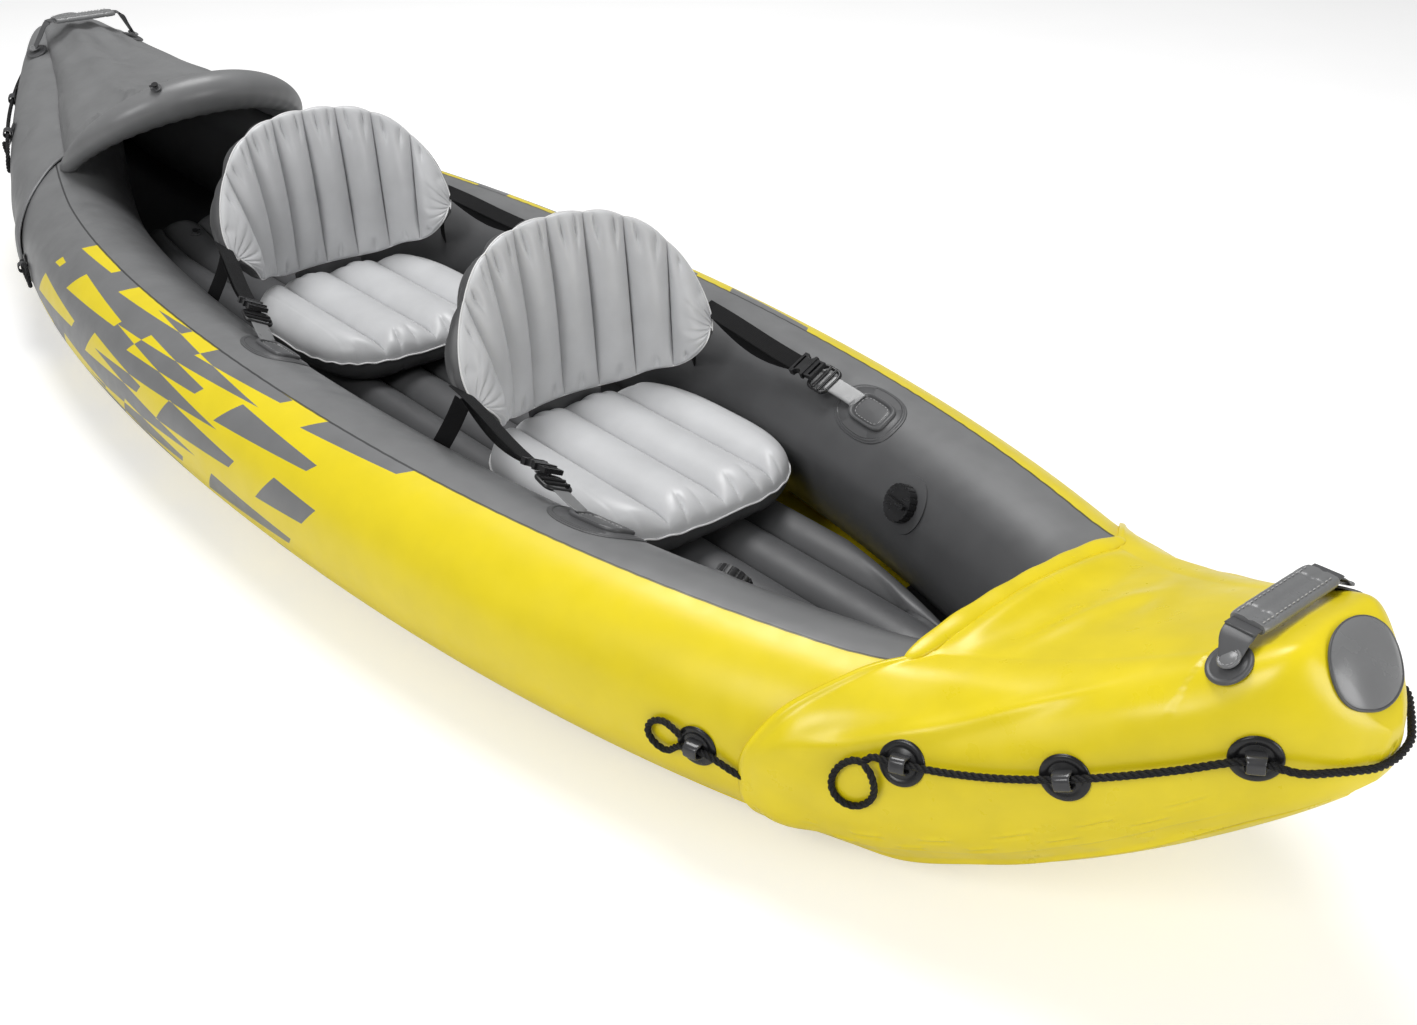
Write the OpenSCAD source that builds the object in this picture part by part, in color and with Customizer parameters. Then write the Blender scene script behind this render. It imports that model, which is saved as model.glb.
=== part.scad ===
// Two-seat inflatable kayak: two side chambers, lift-out floor, bow and stern covers,
// two seats with tilting backrests, carry handles, grab lines and valves.
// Millimetres. +X runs to the bow, +Y to port, +Z up. The belly stands on z = 0.

/* [Hull] */
// Half of the hull's length, tip of the bow cover to amidships
half_len = 1560; // [1450:5:1650]
// Half of the beam over the side chambers
half_beam = 450; // [430:1:480]
// Radius of a side chamber amidships
tube_r = 114; // [104:1:124]
// How early the planform draws in towards the ends
plan_full = 0.525; // [0.48:0.005:0.56]
// Half-breadth that the planform would have at the bow tip before it is rounded
bow_tip_w = 50; // [40:1:60]
// Half-breadth that the planform would have at the stern tip before it is rounded
stern_tip_w = 32; // [24:1:44]
// Free gap between the two chambers where they meet at the ends
center_gap = 1; // [0.6:0.1:3]
// Clearance between the chambers and the bottom sheet
sheet_gap = 0.5; // [0.3:0.1:1]
// Clearance between the chambers and the covers drawn over them
cover_gap = 1.2; // [1:0.1:2]
// Thickness of the cover and bottom sheets
sheet_t = 3; // [2:0.5:4]
// How far the belly bulges below the chambers
belly_drop = 17; // [10:1:24]

/* [Bow] */
// Length over which the bow's underside rises
bow_keel_len = 410; // [350:5:450]
// Height that the underside gains at the bow tip
bow_keel_rise = 250; // [220:5:265]
// Length over which the bow's top line rises
bow_sheer_len = 480; // [430:5:530]
// Height that the top line gains at the peak
bow_sheer_rise = 162; // [140:2:180]
// Length of the raked nose face, from the peak to the tip
bow_nose_len = 60; // [50:2:80]
// Height of the upper edge of the bow tip
bow_tip_z = 322; // [310:1:340]
// Distance from the bow tip to the rear edge of the bow deck
bow_deck_len = 397; // [350:1:420]
// How far the cover's side lobes reach aft of the deck edge
cover_lobe = 104; // [60:1:120]
// Crown of the bow deck across the boat
bow_crown = 12; // [4:1:24]
// Diameter of the rolled rim on the bow deck's rear edge
rim_d = 14; // [8:1:18]

/* [Stern] */
// Length over which the stern's underside rises
stern_keel_len = 780; // [710:5:830]
// Height that the underside gains at the stern tip
stern_keel_rise = 265; // [240:5:275]
// Length over which the stern's top line rises
stern_sheer_len = 770; // [710:5:830]
// Height that the top line gains at the stern peak
stern_sheer_rise = 180; // [165:1:195]
// Length of the stern's end face
stern_nose_len = 60; // [50:1:75]
// Height of the upper edge of the stern tip
stern_tip_z = 330; // [318:1:345]
// Distance from the stern tip to the feet of the coaming arch
arch_foot_len = 617; // [570:1:650]
// How far the arch leans forward from its feet
arch_lean = 167; // [120:1:200]
// Height of the arch's centre line above its feet
arch_rise = 118; // [90:1:140]
// Height of the arch's feet above the chambers
arch_foot_h = 18; // [14:1:26]
// Radius of the arch tube
arch_r = 37; // [30:1:42]

/* [Floor] */
// Width of one floor tube
floor_pitch = 75; // [66:1:80]
// Floor tubes on each side of the centre line
floor_half_count = 2; // [2:1:2]
// Thickness of the inflated floor
floor_t = 106; // [80:1:112]
// Depth of the grooves between the floor tubes
floor_groove = 17; // [8:1:24]
// Forward end of the floor
floor_x1 = 1090; // [900:5:1110]
// Aft end of the floor
floor_x0 = -960; // [-1000:5:-800]

/* [Seats] */
// Place of the front backrest's lower edge along the boat
seat_x = 322; // [280:1:360]
// Distance between the two seats
seat_pitch = 704; // [660:1:740]
// Length of a seat base
seat_len = 370; // [330:2:400]
// Distance from the side of the boat to the side of a seat base
seat_inset = 272; // [270:1:300]
// Thickness of a seat base
seat_t = 78; // [60:1:80]
// Channels in a seat base
seat_channels = 4; // [4:1:4]
// Depth of a seat channel's groove
seat_groove = 13; // [6:1:18]
// Height of a backrest above its lower edge
back_h = 262; // [220:1:290]
// Half of the backrest's width along its top
back_half_w = 226; // [200:1:230]
// How far the lower ends of the wings reach forward
wing_reach = 124; // [90:1:130]
// Half-thickness of an inflated backrest
back_half_t = 30; // [20:1:34]
// Channels in a backrest
back_channels = 8; // [8:1:8]
// Gap at the fabric hinge between base and backrest
hinge_gap = 0.8; // [0.7:0.05:0.95]

/* [Harness] */
// Width of the webbing
web_w = 26; // [20:1:38]
// Thickness of the webbing
web_t = 2; // [1.5:0.5:3]
// Distance from the backrest to its front strap patch
patch_reach = 384; // [340:1:410]
// Length of a buckle
buckle_len = 46; // [40:1:60]
// Width of a buckle
buckle_w = 36; // [30:1:46]
// Thickness of a buckle
buckle_t = 9; // [7:0.5:12]

/* [Handles and ropes] */
// Length of a carry grip
grip_len = 138; // [110:1:150]
// Width of a carry grip
grip_w = 38; // [32:1:46]
// Thickness of a carry grip
grip_t = 14; // [10:1:18]
// Diameter of the grab line
rope_d = 8; // [6:0.5:9]
// Radius of a rope fitting's disc
fitting_r = 24; // [21:1:30]
// Thickness of a rope fitting's disc
fitting_t = 2.5; // [2:0.5:4]

/* [Valves] */
// Radius of a two-way valve's flange
valve_flange_r = 38; // [32:1:44]
// Radius of a two-way valve's threaded neck
valve_neck_r = 17; // [14:0.5:20]
// Radius of the screw cap
valve_cap_r = 25; // [22:0.5:28]
// Place of the two-way valves along the boat
valve_x = 858; // [800:1:900]
// Bore of a small valve
stem_bore_r = 2.6; // [2:0.1:3]

/* [Hidden] */
$fn = 48;

yellow = [0.95, 0.84, 0.1];
hull_grey = [0.42, 0.43, 0.44];
dark_grey = [0.27, 0.27, 0.28];
seat_grey = [0.78, 0.78, 0.79];
black = [0.1, 0.1, 0.11];
clear = [0.8, 0.85, 0.88];

contact = 0.4;
keel_lift = belly_drop + sheet_t + sheet_gap;
sheer0 = keel_lift + 2 * tube_r;
cover_c = cover_gap + sheet_t;
bottom_c = sheet_gap + sheet_t;
seat_spots = [seat_x, seat_x - seat_pitch];

// Small helpers
function unit(v) = v / norm(v);
function mixed(a, b, s) = a + (b - a) * s;
function soft_min(a, b, k) = (a + b - sqrt((a - b) * (a - b) + k * k)) / 2;
function ramp(x, x0, x1) = max(0, (x - x0) / (x1 - x0));
function flip(p, side) = [p[0], side * p[1], p[2]];

// Lines of the hull: half-breadth, underside and top line at a place x
nose_power = 2.6;
nose_least = 0.05;
function nose_round(x, nose) =
    let (q = min(1, ramp(abs(x), half_len - nose, half_len)))
    pow(max(nose_least, 1 - pow(q, nose_power)), 1 / nose_power);
function plan_line(x) =
    let (t = x / half_len, k4 = 1 - plan_full - (x >= 0 ? bow_tip_w : stern_tip_w) / half_beam)
    half_beam * (1 - plan_full * t * t - k4 * pow(t, 4));
function half_w(x) = plan_line(x) * nose_round(x, x >= 0 ? bow_nose_len : stern_nose_len);
// How sharply the underside and the top line turn up: [bow, stern]
keel_power = [1.7, 1.5];
sheer_power = [1.8, 1.4];
function keel_z(x) = keel_lift + (x >= 0
    ? bow_keel_rise * pow(ramp(x, half_len - bow_keel_len, half_len), keel_power[0])
    : stern_keel_rise * pow(ramp(-x, half_len - stern_keel_len, half_len), keel_power[1]));
peak_over = 30;
peak_lead = 40;
peak_blend = 25;
function peaked(d, len, nose, rise, tip, power) =
    let (x1 = half_len - nose,
         top = sheer0 + rise * pow(ramp(d, half_len - len, x1), power),
         high = sheer0 + rise + peak_over,
         face = high - (high - tip) * ramp(d, x1 - peak_lead, half_len))
    d < x1 - 2 * peak_lead ? top : soft_min(top, face, peak_blend);
function sheer_z(x) = x >= 0
    ? peaked(x, bow_sheer_len, bow_nose_len, bow_sheer_rise, bow_tip_z, sheer_power[0])
    : peaked(-x, stern_sheer_len, stern_nose_len, stern_sheer_rise, stern_tip_z, sheer_power[1]);

// Section of a side chamber: an ellipse that is round amidships and tall at the ends
narrow_blend = 12;
least_half_h = 3;
function cham_a(x) = soft_min(tube_r, (half_w(x) - center_gap) / 2, narrow_blend);
function cham_b(x) = max(least_half_h, (sheer_z(x) - keel_z(x)) / 2);
function cham_y(x) = half_w(x) - cham_a(x);
function cham_z(x) = (sheer_z(x) + keel_z(x)) / 2;
function skin(x, th, c, side = 1) =
    [x, side * (cham_y(x) + (cham_a(x) + c) * cos(th)), cham_z(x) + (cham_b(x) + c) * sin(th)];
function skin_normal(x, th, side) =
    let (tx = skin(x + 2, th, 0, side) - skin(x - 2, th, 0, side),
         tt = skin(x, th + 1, 0, side) - skin(x, th - 1, 0, side))
    side * unit(cross(tt, tx));
function top_z(x, y, c) =
    let (d = min(1, max(0, abs(y) - cham_y(x)) / (cham_a(x) + c)))
    cham_z(x) + (cham_b(x) + c) * sqrt(1 - d * d);

// Puts children on a surface point, with z along the normal and x along a guide direction
module at_frame(p, n, guide) {
    z = unit(n);
    x = unit(guide - z * (guide * z));
    y = cross(z, x);
    multmatrix([[x[0], y[0], z[0], p[0]], [x[1], y[1], z[1], p[1]], [x[2], y[2], z[2], p[2]]])
        children();
}

// A solid lofted through rings of points, each ring counter-clockwise seen from its far end
function wall_faces(n, m) = [for (i = [0 : m - 2]) for (j = [0 : n - 1])
    let (k = (j + 1) % n)
    each [[i * n + j, (i + 1) * n + j, (i + 1) * n + k], [i * n + j, (i + 1) * n + k, i * n + k]]];
module loft(rings) {
    n = len(rings[0]);
    m = len(rings);
    polyhedron(points = [for (r = rings) each r],
        faces = concat([[for (j = [0 : n - 1]) j]], wall_faces(n, m),
            [[for (j = [n - 1 : -1 : 0]) (m - 1) * n + j]]));
}
// The same for rings that are thin bands, whose ends close as strips of triangles
module band(rings) {
    n = len(rings[0]);
    m = len(rings);
    e = (m - 1) * n;
    polyhedron(points = [for (r = rings) each r],
        faces = concat(wall_faces(n, m),
            [for (j = [0 : n / 2 - 2]) each [[j, j + 1, n - 2 - j], [j, n - 2 - j, n - 1 - j]]],
            [for (j = [0 : n / 2 - 2])
                each [[e + n - 2 - j, e + j + 1, e + j], [e + n - 1 - j, e + n - 2 - j, e + j]]]));
}

// Tubes and ribbons carried along a path
function heading(p, i) = unit(p[min(i + 1, len(p) - 1)] - p[max(i - 1, 0)]);
function tube_ring(p, t, r, n, up) =
    let (u = unit(cross(up, t)), v = cross(t, u))
    [for (k = [0 : n - 1]) p + r * (cos(360 * k / n) * u + sin(360 * k / n) * v)];
module rope(path, d, up = [0, 0, 1]) {
    loft([for (i = [0 : len(path) - 1]) tube_ring(path[i], heading(path, i), d / 2, 8, up)]);
}
function ribbon_ring(p, t, n, w, h) =
    let (u = unit(cross(n, t)), v = cross(t, u))
    [p - u * w / 2 - v * h / 2, p + u * w / 2 - v * h / 2,
     p + u * w / 2 + v * h / 2, p - u * w / 2 + v * h / 2];
module ribbon(path, normals, widths, h) {
    loft([for (i = [0 : len(path) - 1])
        ribbon_ring(path[i], heading(path, i), normals[i], widths[i], h)]);
}

// Side chambers
chamber_rings = 48;
chamber_sides = 20;
chamber_end = 4;
even_share = 0.35;
// Stations along the hull, closer together towards the ends
stations = [for (i = [0 : chamber_rings])
    let (s = 2 * i / chamber_rings - 1)
    (half_len - chamber_end) * mixed(sin(90 * s), s, even_share)];
module side_chamber(tint) {
    color(tint) loft([for (x = stations)
        [for (k = [0 : chamber_sides - 1]) skin(x, 360 * k / chamber_sides, 0)]]);
}
module port_chamber() { side_chamber(yellow); }
module starboard_chamber() { mirror([0, 1, 0]) side_chamber(yellow); }

// Bottom sheet: laps up both chambers and bulges to a flat belly between them
lap_ths = [-57, -72, -90];
belly_flat = 0.45;
belly_cols = 6;
sheet_end = 12;
// The belly fades out between these distances from the tips, down to a share of its drop
belly_fade = [420, 100];
belly_left = 0.1;
function belly(e) = abs(e) < belly_flat ? 1
    : 0.5 + 0.5 * cos(180 * (abs(e) - belly_flat) / (1 - belly_flat));
function drop_at(x) = belly_drop * mixed(1, belly_left,
    min(1, ramp(abs(x), half_len - belly_fade[0], half_len - belly_fade[1])));
function sheet_line(x, c) = concat([for (th = lap_ths) skin(x, th, c, -1)],
    [for (k = [1 : belly_cols - 1]) let (e = 2 * k / belly_cols - 1)
        [x, e * cham_y(x), keel_z(x) - c - drop_at(x) * belly(e)]],
    [for (k = [len(lap_ths) - 1 : -1 : 0]) skin(x, lap_ths[k], c)]);
function backwards(v) = [for (k = [len(v) - 1 : -1 : 0]) v[k]];
module bottom_sheet() {
    color(yellow) band([for (x = stations) if (abs(x) < half_len - sheet_end)
        concat(sheet_line(x, bottom_c), backwards(sheet_line(x, sheet_gap)))]);
}

// Lift-out floor with lengthwise tubes
floor_cols = 12;
floor_edge = 40;
floor_lift = 1.3;
floor_round = 60;
floor_ends = [0, 6, 20, 42];
floor_seam = 0.45;
floor_side_gap = 4;
floor_gather = 1.6;
edge_blunt = 0.08;
end_blunt = 0.06;
groove_power = 2.5;
function floor_base(x) = keel_z(x) - keel_lift + sheet_t + floor_lift;
function floor_w(x) = min(floor_pitch * floor_half_count, cham_y(x) - cham_a(x) - floor_side_gap);
function floor_y(x, j) =
    let (step = floor_pitch * floor_half_count / floor_cols)
    sign(j) * min(step * abs(j), floor_w(x) - floor_gather * (floor_cols - abs(j)));
function channel_dip(y, pitch) =
    let (q = abs(y) / pitch, f = 2 * (q - floor(q)) - 1) pow(abs(f), groove_power);
function end_round(x, x0, x1, r) =
    let (e = min(1, min(x - x0, x1 - x) / r + end_blunt)) sqrt(max(0, 1 - (1 - e) * (1 - e)));
function floor_z(x, y, up) =
    let (e = min(1, (floor_w(x) - abs(y)) / floor_edge + edge_blunt),
         round = sqrt(1 - (1 - e) * (1 - e)) * end_round(x, floor_x0, floor_x1, floor_round),
         mid = floor_base(x) + floor_seam * floor_t)
    up ? mid + ((1 - floor_seam) * floor_t - floor_groove * channel_dip(y, floor_pitch)) * round
       : mid - floor_seam * floor_t * round;
floor_stations = concat([for (d = floor_ends) floor_x0 + d],
    [for (x = stations) if (x > floor_x0 + floor_round && x < floor_x1 - floor_round) x],
    [for (d = backwards(floor_ends)) floor_x1 - d]);
module inflatable_floor() {
    color(dark_grey) loft([for (x = floor_stations)
        concat([for (j = [floor_cols : -1 : -floor_cols]) let (y = floor_y(x, j)) [x, y, floor_z(x, y, true)]],
            [for (j = [-floor_cols : 4 : floor_cols]) let (y = floor_y(x, j)) [x, y, floor_z(x, y, false)]])]);
}

// Bow and stern covers: sheets over both chambers, from one lower seam over the deck to the other
seam_th = -54;
side_cols = 8;
deck_cols = 8;
lobe_rings = 4;
lobe_turn = 0.72;
cover_last = 2 * side_cols + deck_cols;
function cover_th(j) = j <= side_cols ? mixed(seam_th, 90, j / side_cols)
    : mixed(90, seam_th, (j - side_cols - deck_cols) / side_cols);
function lobe(th) = cover_lobe * sin(180 * lobe_turn * (90 - th) / (90 - seam_th));
function deck_eta(j) = 1 - 2 * (j - side_cols) / deck_cols;
function on_deck(j) = j > side_cols && j < side_cols + deck_cols;
function bow_edge(j) = half_len - bow_deck_len - (on_deck(j) ? 0 : lobe(cover_th(j)));
function bow_deck(x, y, c) =
    let (s = ramp(x, half_len - bow_deck_len, half_len))
    top_z(x, y, c) + bow_crown * (1 - s) * (1 - pow(min(1, abs(y) / cham_y(x)), 2));
function bow_col(x, j, c) = on_deck(j)
    ? [x, deck_eta(j) * cham_y(x), bow_deck(x, deck_eta(j) * cham_y(x), c)]
    : skin(x, cover_th(j), c, j <= side_cols ? 1 : -1);
deck_start = 14;
bow_stations = concat([for (x = stations) if (x > half_len - bow_deck_len + 2 * deck_start) x], [half_len]);
function bow_line(i, c) = [for (j = [0 : cover_last])
    bow_col(i <= lobe_rings ? mixed(bow_edge(j), half_len - bow_deck_len + deck_start, i / lobe_rings)
        : bow_stations[i - lobe_rings - 1], j, c)];
// The sheet is drawn together in front of the chambers' ends
tip_close = 0.03;
function tip_line(end, line, thick) =
    let (p = [end * half_len, 0, line[0][2]])
    [for (q = line) p + (q - p) * tip_close + [end * thick, 0, 0]];
function bow_ring(i) = i <= lobe_rings + len(bow_stations)
    ? concat(bow_line(i, cover_c), backwards(bow_line(i, cover_gap)))
    : concat(tip_line(1, bow_line(i - 1, cover_c), sheet_t),
        backwards(tip_line(1, bow_line(i - 1, cover_gap), contact)));
module bow_cover() {
    color(yellow) band([for (i = [0 : lobe_rings + len(bow_stations) + 1]) bow_ring(i)]);
}
// Rolled rim along the rear edge of the bow deck
module bow_deck_rim() {
    x = half_len - bow_deck_len - rim_d / 2 - contact;
    span = cham_y(x);
    color(yellow) rope([for (k = [0 : 12]) let (y = mixed(-span, span, k / 12))
        [x, y, bow_deck(x, y, cover_gap) + rim_d / 2]], rim_d);
}

// Coaming arch and the stern cover that is drawn over it
arch_foot_x = -(half_len - arch_foot_len);
arch_rings = 20;
arch_sides = 12;
function arch_at(phi) = [arch_foot_x + arch_lean * sin(phi), cham_y(arch_foot_x) * cos(phi),
    sheer_z(arch_foot_x) + arch_foot_h + arch_rise * sin(phi)];
function arch_heading(phi) = unit(arch_at(phi + 1) - arch_at(phi - 1));
function hull_top(x, y, c) =
    let (d = (abs(y) - cham_y(x)) / (cham_a(x) + c))
    abs(d) >= 1 ? 0 : cham_z(x) + (cham_b(x) + c) * sqrt(1 - d * d);
function clear_of_chamber(p) = [p[0], p[1], max(p[2], hull_top(p[0], p[1], 2 * contact))];
arch_up = unit([-arch_rise, 0, arch_lean]);
function arch_ring(phi, r) = tube_ring(arch_at(phi), arch_heading(phi), r, arch_sides, arch_up);
module coaming_arch() {
    color(hull_grey) loft([for (i = [0 : arch_rings])
        [for (q = arch_ring(180 * i / arch_rings, arch_r)) clear_of_chamber(q)]]);
}
// The deck reaches under the arch and is trimmed to it
edge_up = 8;
stern_start = 60;
// Fullness of the stern deck lengthwise, and across it at the arch and at the tip
deck_power = 1.25;
cross_power = [0.5, 0.8];
sheer_join = 3;
stern_crown = arch_foot_h + arch_rise + edge_up;
function deck_reach(e) = arch_foot_x + arch_lean * sqrt(max(0, 1 - e * e));
function stern_edge(j) = on_deck(j) ? deck_reach(deck_eta(j)) : arch_foot_x - arch_r + lobe(cover_th(j));
function stern_deck(s, e) = stern_crown * (1 - pow(s, deck_power))
    * pow(max(0, 1 - e * e), mixed(cross_power[0], cross_power[1], s));
function stern_top(x, y, c) =
    let (e = y / cham_y(x), s = (deck_reach(e) - x) / (deck_reach(e) + half_len))
    abs(e) >= 1 ? top_z(x, y, c)
    : mixed(sheer_z(arch_foot_x), sheer_z(x), min(1, sheer_join * s)) + c + stern_deck(s, e);
function stern_col(x, j, c) = on_deck(j)
    ? [x, deck_eta(j) * cham_y(x), stern_top(x, deck_eta(j) * cham_y(x), c)]
    : skin(x, cover_th(j), c, j <= side_cols ? 1 : -1);
stern_rings = 5;
stern_stations = concat([-half_len],
    [for (x = stations) if (x < arch_foot_x - stern_start - deck_start) x]);
function stern_line(i, c) = let (n = len(stern_stations)) [for (j = [0 : cover_last])
    stern_col(i < n ? stern_stations[i]
        : mixed(arch_foot_x - stern_start, stern_edge(j), (i - n) / stern_rings), j, c)];
module stern_cover() {
    color(hull_grey) difference() {
        band(concat([concat(tip_line(-1, stern_line(0, cover_c), sheet_t),
            backwards(tip_line(-1, stern_line(0, cover_gap), contact)))],
            [for (i = [0 : stern_rings + len(stern_stations)])
                concat(stern_line(i, cover_c), backwards(stern_line(i, cover_gap)))]));
        loft([for (i = [0 : arch_rings]) arch_ring(180 * i / arch_rings, arch_r + contact)]);
    }
}

// Domed oval caps on the nose face and the stern end
cap_half_w = 50;
cap_back = 38;
cap_half_len = 27;
cap_dome = 9;
cap_edge = 2;
cap_seat = [1.8, 2.5];
cap_sides = 24;
cap_power = 2.4;
cap_rhos = [0.06, 0.3, 0.55, 0.8, 1];
function cap_point(end, rho, phi, lift) =
    let (x = end * (half_len - cap_back + cap_half_len * rho * cos(phi)),
         y = cap_half_w * rho * sin(phi) * end)
    [x, y, (end > 0 ? bow_deck(x, y, cover_c) : stern_top(x, y, cover_c)) + cap_seat[end > 0 ? 0 : 1] + lift];
module end_cap(end) {
    under = [for (rho = cap_rhos) [rho, 0]];
    dome = [for (rho = backwards(cap_rhos)) [rho, cap_edge + cap_dome * (1 - pow(rho, cap_power))]];
    color(hull_grey) loft([for (s = concat(under, dome)) [for (k = [0 : cap_sides - 1])
        cap_point(end, s[0], 360 * k / cap_sides, s[1])]]);
}
module bow_nose_cap() { end_cap(1); }
module stern_end_cap() { end_cap(-1); }

// Seats
seat_power = 3.2;
seat_half_w = half_beam - seat_inset;
seat_rings = 12;
seat_seam = 0.5;
seat_rim = 45;
seat_tip = 90;
seat_blunt = 0.05;
seat_end = 0.985;
groove_fade = 6;
seat_z0 = floor_base(seat_x) + floor_t + contact;
hinge_lift = 1;
hinge_z = seat_z0 + seat_t + hinge_lift;
hinge_t = 3;
hinge_root = 8;
hinge_u = 0.26;
// The strip falls away towards its ends, so that the curved edge can tilt over it
hinge_fall = 0.4;
seat_back = 6;
function seat_hw(xi) = seat_half_w * pow(max(0, 1 - pow(abs(xi), seat_power)), 1 / seat_power);
function seat_point(x0, xi, e, up) =
    let (hw = seat_hw(xi), y = e * hw, x = x0 - seat_back + seat_len / 2 * (1 + xi),
         rim = min(1, (1 - abs(e)) * hw / seat_rim + seat_blunt),
         tip = min(1, (1 - abs(xi)) * seat_len / seat_tip + seat_blunt),
         round = sqrt(1 - (1 - rim) * (1 - rim)) * sqrt(1 - (1 - tip) * (1 - tip)),
         dip = seat_groove * channel_dip(y, 2 * seat_half_w / seat_channels) * (1 - pow(abs(xi), groove_fade)),
         mid = seat_z0 + seat_seam * seat_t)
    [x, y, up ? mid + ((1 - seat_seam) * seat_t - dip) * round : mid - seat_seam * seat_t * round];
// Fabric strip that carries the backrest along its lower edge
function hinge_ring(x0, u) =
    let (p = back_mid(x0, u, 0), h = hinge_t / 2,
         z0 = seat_z0 + seat_seam * seat_t - hinge_root, z1 = hinge_z - hinge_fall * (p[0] - x0))
    [[p[0] - h, p[1], z0], [p[0] - h, p[1], z1], [p[0] + h, p[1], z1], [p[0] + h, p[1], z0]];
module seat_base(x0) {
    color(seat_grey) {
        loft([for (i = [0 : seat_rings]) let (xi = seat_end * sin(90 * (2 * i / seat_rings - 1)))
            concat([for (k = [0 : 20]) seat_point(x0, xi, 1 - k / 10, true)],
                [for (k = [0 : 6]) seat_point(x0, xi, k / 3 - 1, false)])]);
        loft([for (k = [-4 : 4]) hinge_ring(x0, hinge_u * k / 4)]);
    }
}
module front_seat_base() { seat_base(seat_spots[0]); }
module rear_seat_base() { seat_base(seat_spots[1]); }

// Backrest: a scoop of channels whose wings wrap forward
back_rows = 10;
back_cols = 32;
back_lean = 23;
back_low_w = 178;
// How the lower and upper edges run out towards the wings
low_bow = 0.35;
top_bow = 0.044;
top_reach = 0.77;
low_lift = 52;
top_fall = [40, 110];
back_edge_t = 1.5;
back_pinch = 0.45;
back_round = 0.55;
wing_round = 8;
function back_mid(x0, u, v) =
    let (yb = back_low_w * u * (1 + low_bow - low_bow * u * u),
         yt = back_half_w * u * (1 + top_bow - top_bow * u * u),
         xb = wing_reach * u * u, xt = top_reach * wing_reach * u * u - back_lean,
         zb = low_lift * pow(abs(u), 3), zt = back_h - top_fall[0] * u * u - top_fall[1] * pow(u, 4))
    [x0 + mixed(xb, xt, v), mixed(yb, yt, v), hinge_z + hinge_gap + mixed(zb, zt, v)];
function back_normal(x0, u, v) =
    let (d = back_mid(x0, u + 0.01, v) - back_mid(x0, u - 0.01, v)) unit([d[1], -d[0], 0]);
function back_thick(u, v) =
    let (q = abs(u) * back_channels / 2, f = abs(2 * (q - floor(q)) - 1),
         edge = pow(sin(180 * v), back_round) * sqrt(max(0, 1 - pow(abs(u), wing_round))))
    back_edge_t + (back_half_t - back_edge_t) * edge * (1 - back_pinch * pow(f, groove_power));
function back_point(x0, u, v, face) = back_mid(x0, u, v) + face * back_thick(u, v) * back_normal(x0, u, v);
module backrest(x0) {
    color(seat_grey) band([for (i = [0 : back_rows]) let (v = i / back_rows)
        concat([for (k = [0 : back_cols]) back_point(x0, 2 * k / back_cols - 1, v, 1)],
            [for (k = [back_cols : -1 : 0]) back_point(x0, 2 * k / back_cols - 1, v, -1)])]);
}
module front_backrest() { backrest(seat_spots[0]); }
module rear_backrest() { backrest(seat_spots[1]); }

// Harness of one seat side: wing, buckle and patch lie on one straight pull
patch_th = 117;
tab_rise = 9;
wing_v = 0.75;
// Distance of the strap's end from the wing's middle: [front seat, rear seat]
wing_clear = [9, 6.8];
buckle_at = 0.62;
pull_stop = 30;
function wing_point(x0, side) = flip(back_mid(x0, 1, wing_v) + [wing_clear[x0 > 0 ? 0 : 1], 0, 0], side);
function patch_x(x0) = x0 + patch_reach;
function pull_end(x0, side) = skin(patch_x(x0) - pull_stop, patch_th, tab_rise, side);
function pull(x0, side, s) = mixed(wing_point(x0, side), pull_end(x0, side), s);
function pull_dir(x0, side) = unit(pull_end(x0, side) - wing_point(x0, side));
function pull_normal(x0, side) = skin_normal(patch_x(x0), patch_th, side);
rear_th = 152;
rear_clear = 3;
rear_reach = 28;
rear_u = 0.9;
rear_v = 0.3;
rear_slack = 4;
rear_rest = 0.1;
function rear_start(x0, side) =
    let (off = back_thick(rear_u, rear_v) + web_t + rear_clear)
    flip(back_mid(x0, rear_u, rear_v) - off * back_normal(x0, rear_u, rear_v), side);
module seat_straps(x0) {
    color(black) for (side = [-1, 1]) {
        n = pull_normal(x0, side);
        ribbon([pull(x0, side, 0), pull(x0, side, buckle_at)], [n, n], [web_w, web_w], web_t);
        a = rear_start(x0, side);
        b = skin(x0 + rear_reach, rear_th, rear_rest, side);
        m = skin_normal(x0 + rear_reach, rear_th, side);
        ribbon([a, mixed(a, b, 0.5) + rear_slack * m, b], [m, m, m], [web_w, web_w, web_w], web_t);
    }
}
module front_seat_straps() { seat_straps(seat_spots[0]); }
module rear_seat_straps() { seat_straps(seat_spots[1]); }

// Side-release buckle: socket with side windows, prongs and a strap bar.
// Each row gives a block's start, length, width and thickness as shares of the buckle's size.
buckle_start = 2;
buckle_blocks = [[0, 0.58, 1, 1], [0.58, 0.36, 0.84, 0.7], [0.46, 0.2, 0.4, 0.5]];
buckle_slots = [[0.09, 0.08, 0.72, 2], [0.74, 0.1, 0.68, 2]];
window_at = 0.32;
window_r = 0.2;
buckle_end = 0.98;
module buckle_block(b) {
    translate([buckle_len * (b[0] + b[1] / 2), 0, 0])
        cube([buckle_len * b[1], buckle_w * b[2], buckle_t * b[3]], center = true);
}
module buckle() {
    translate([buckle_start, 0, 0]) difference() {
        for (b = buckle_blocks) buckle_block(b);
        for (s = [-1, 1]) translate([buckle_len * window_at, s * buckle_w / 2, 0])
            cylinder(r = buckle_w * window_r, h = 2 * buckle_t, center = true);
        for (b = buckle_slots) buckle_block(b);
    }
}
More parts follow.
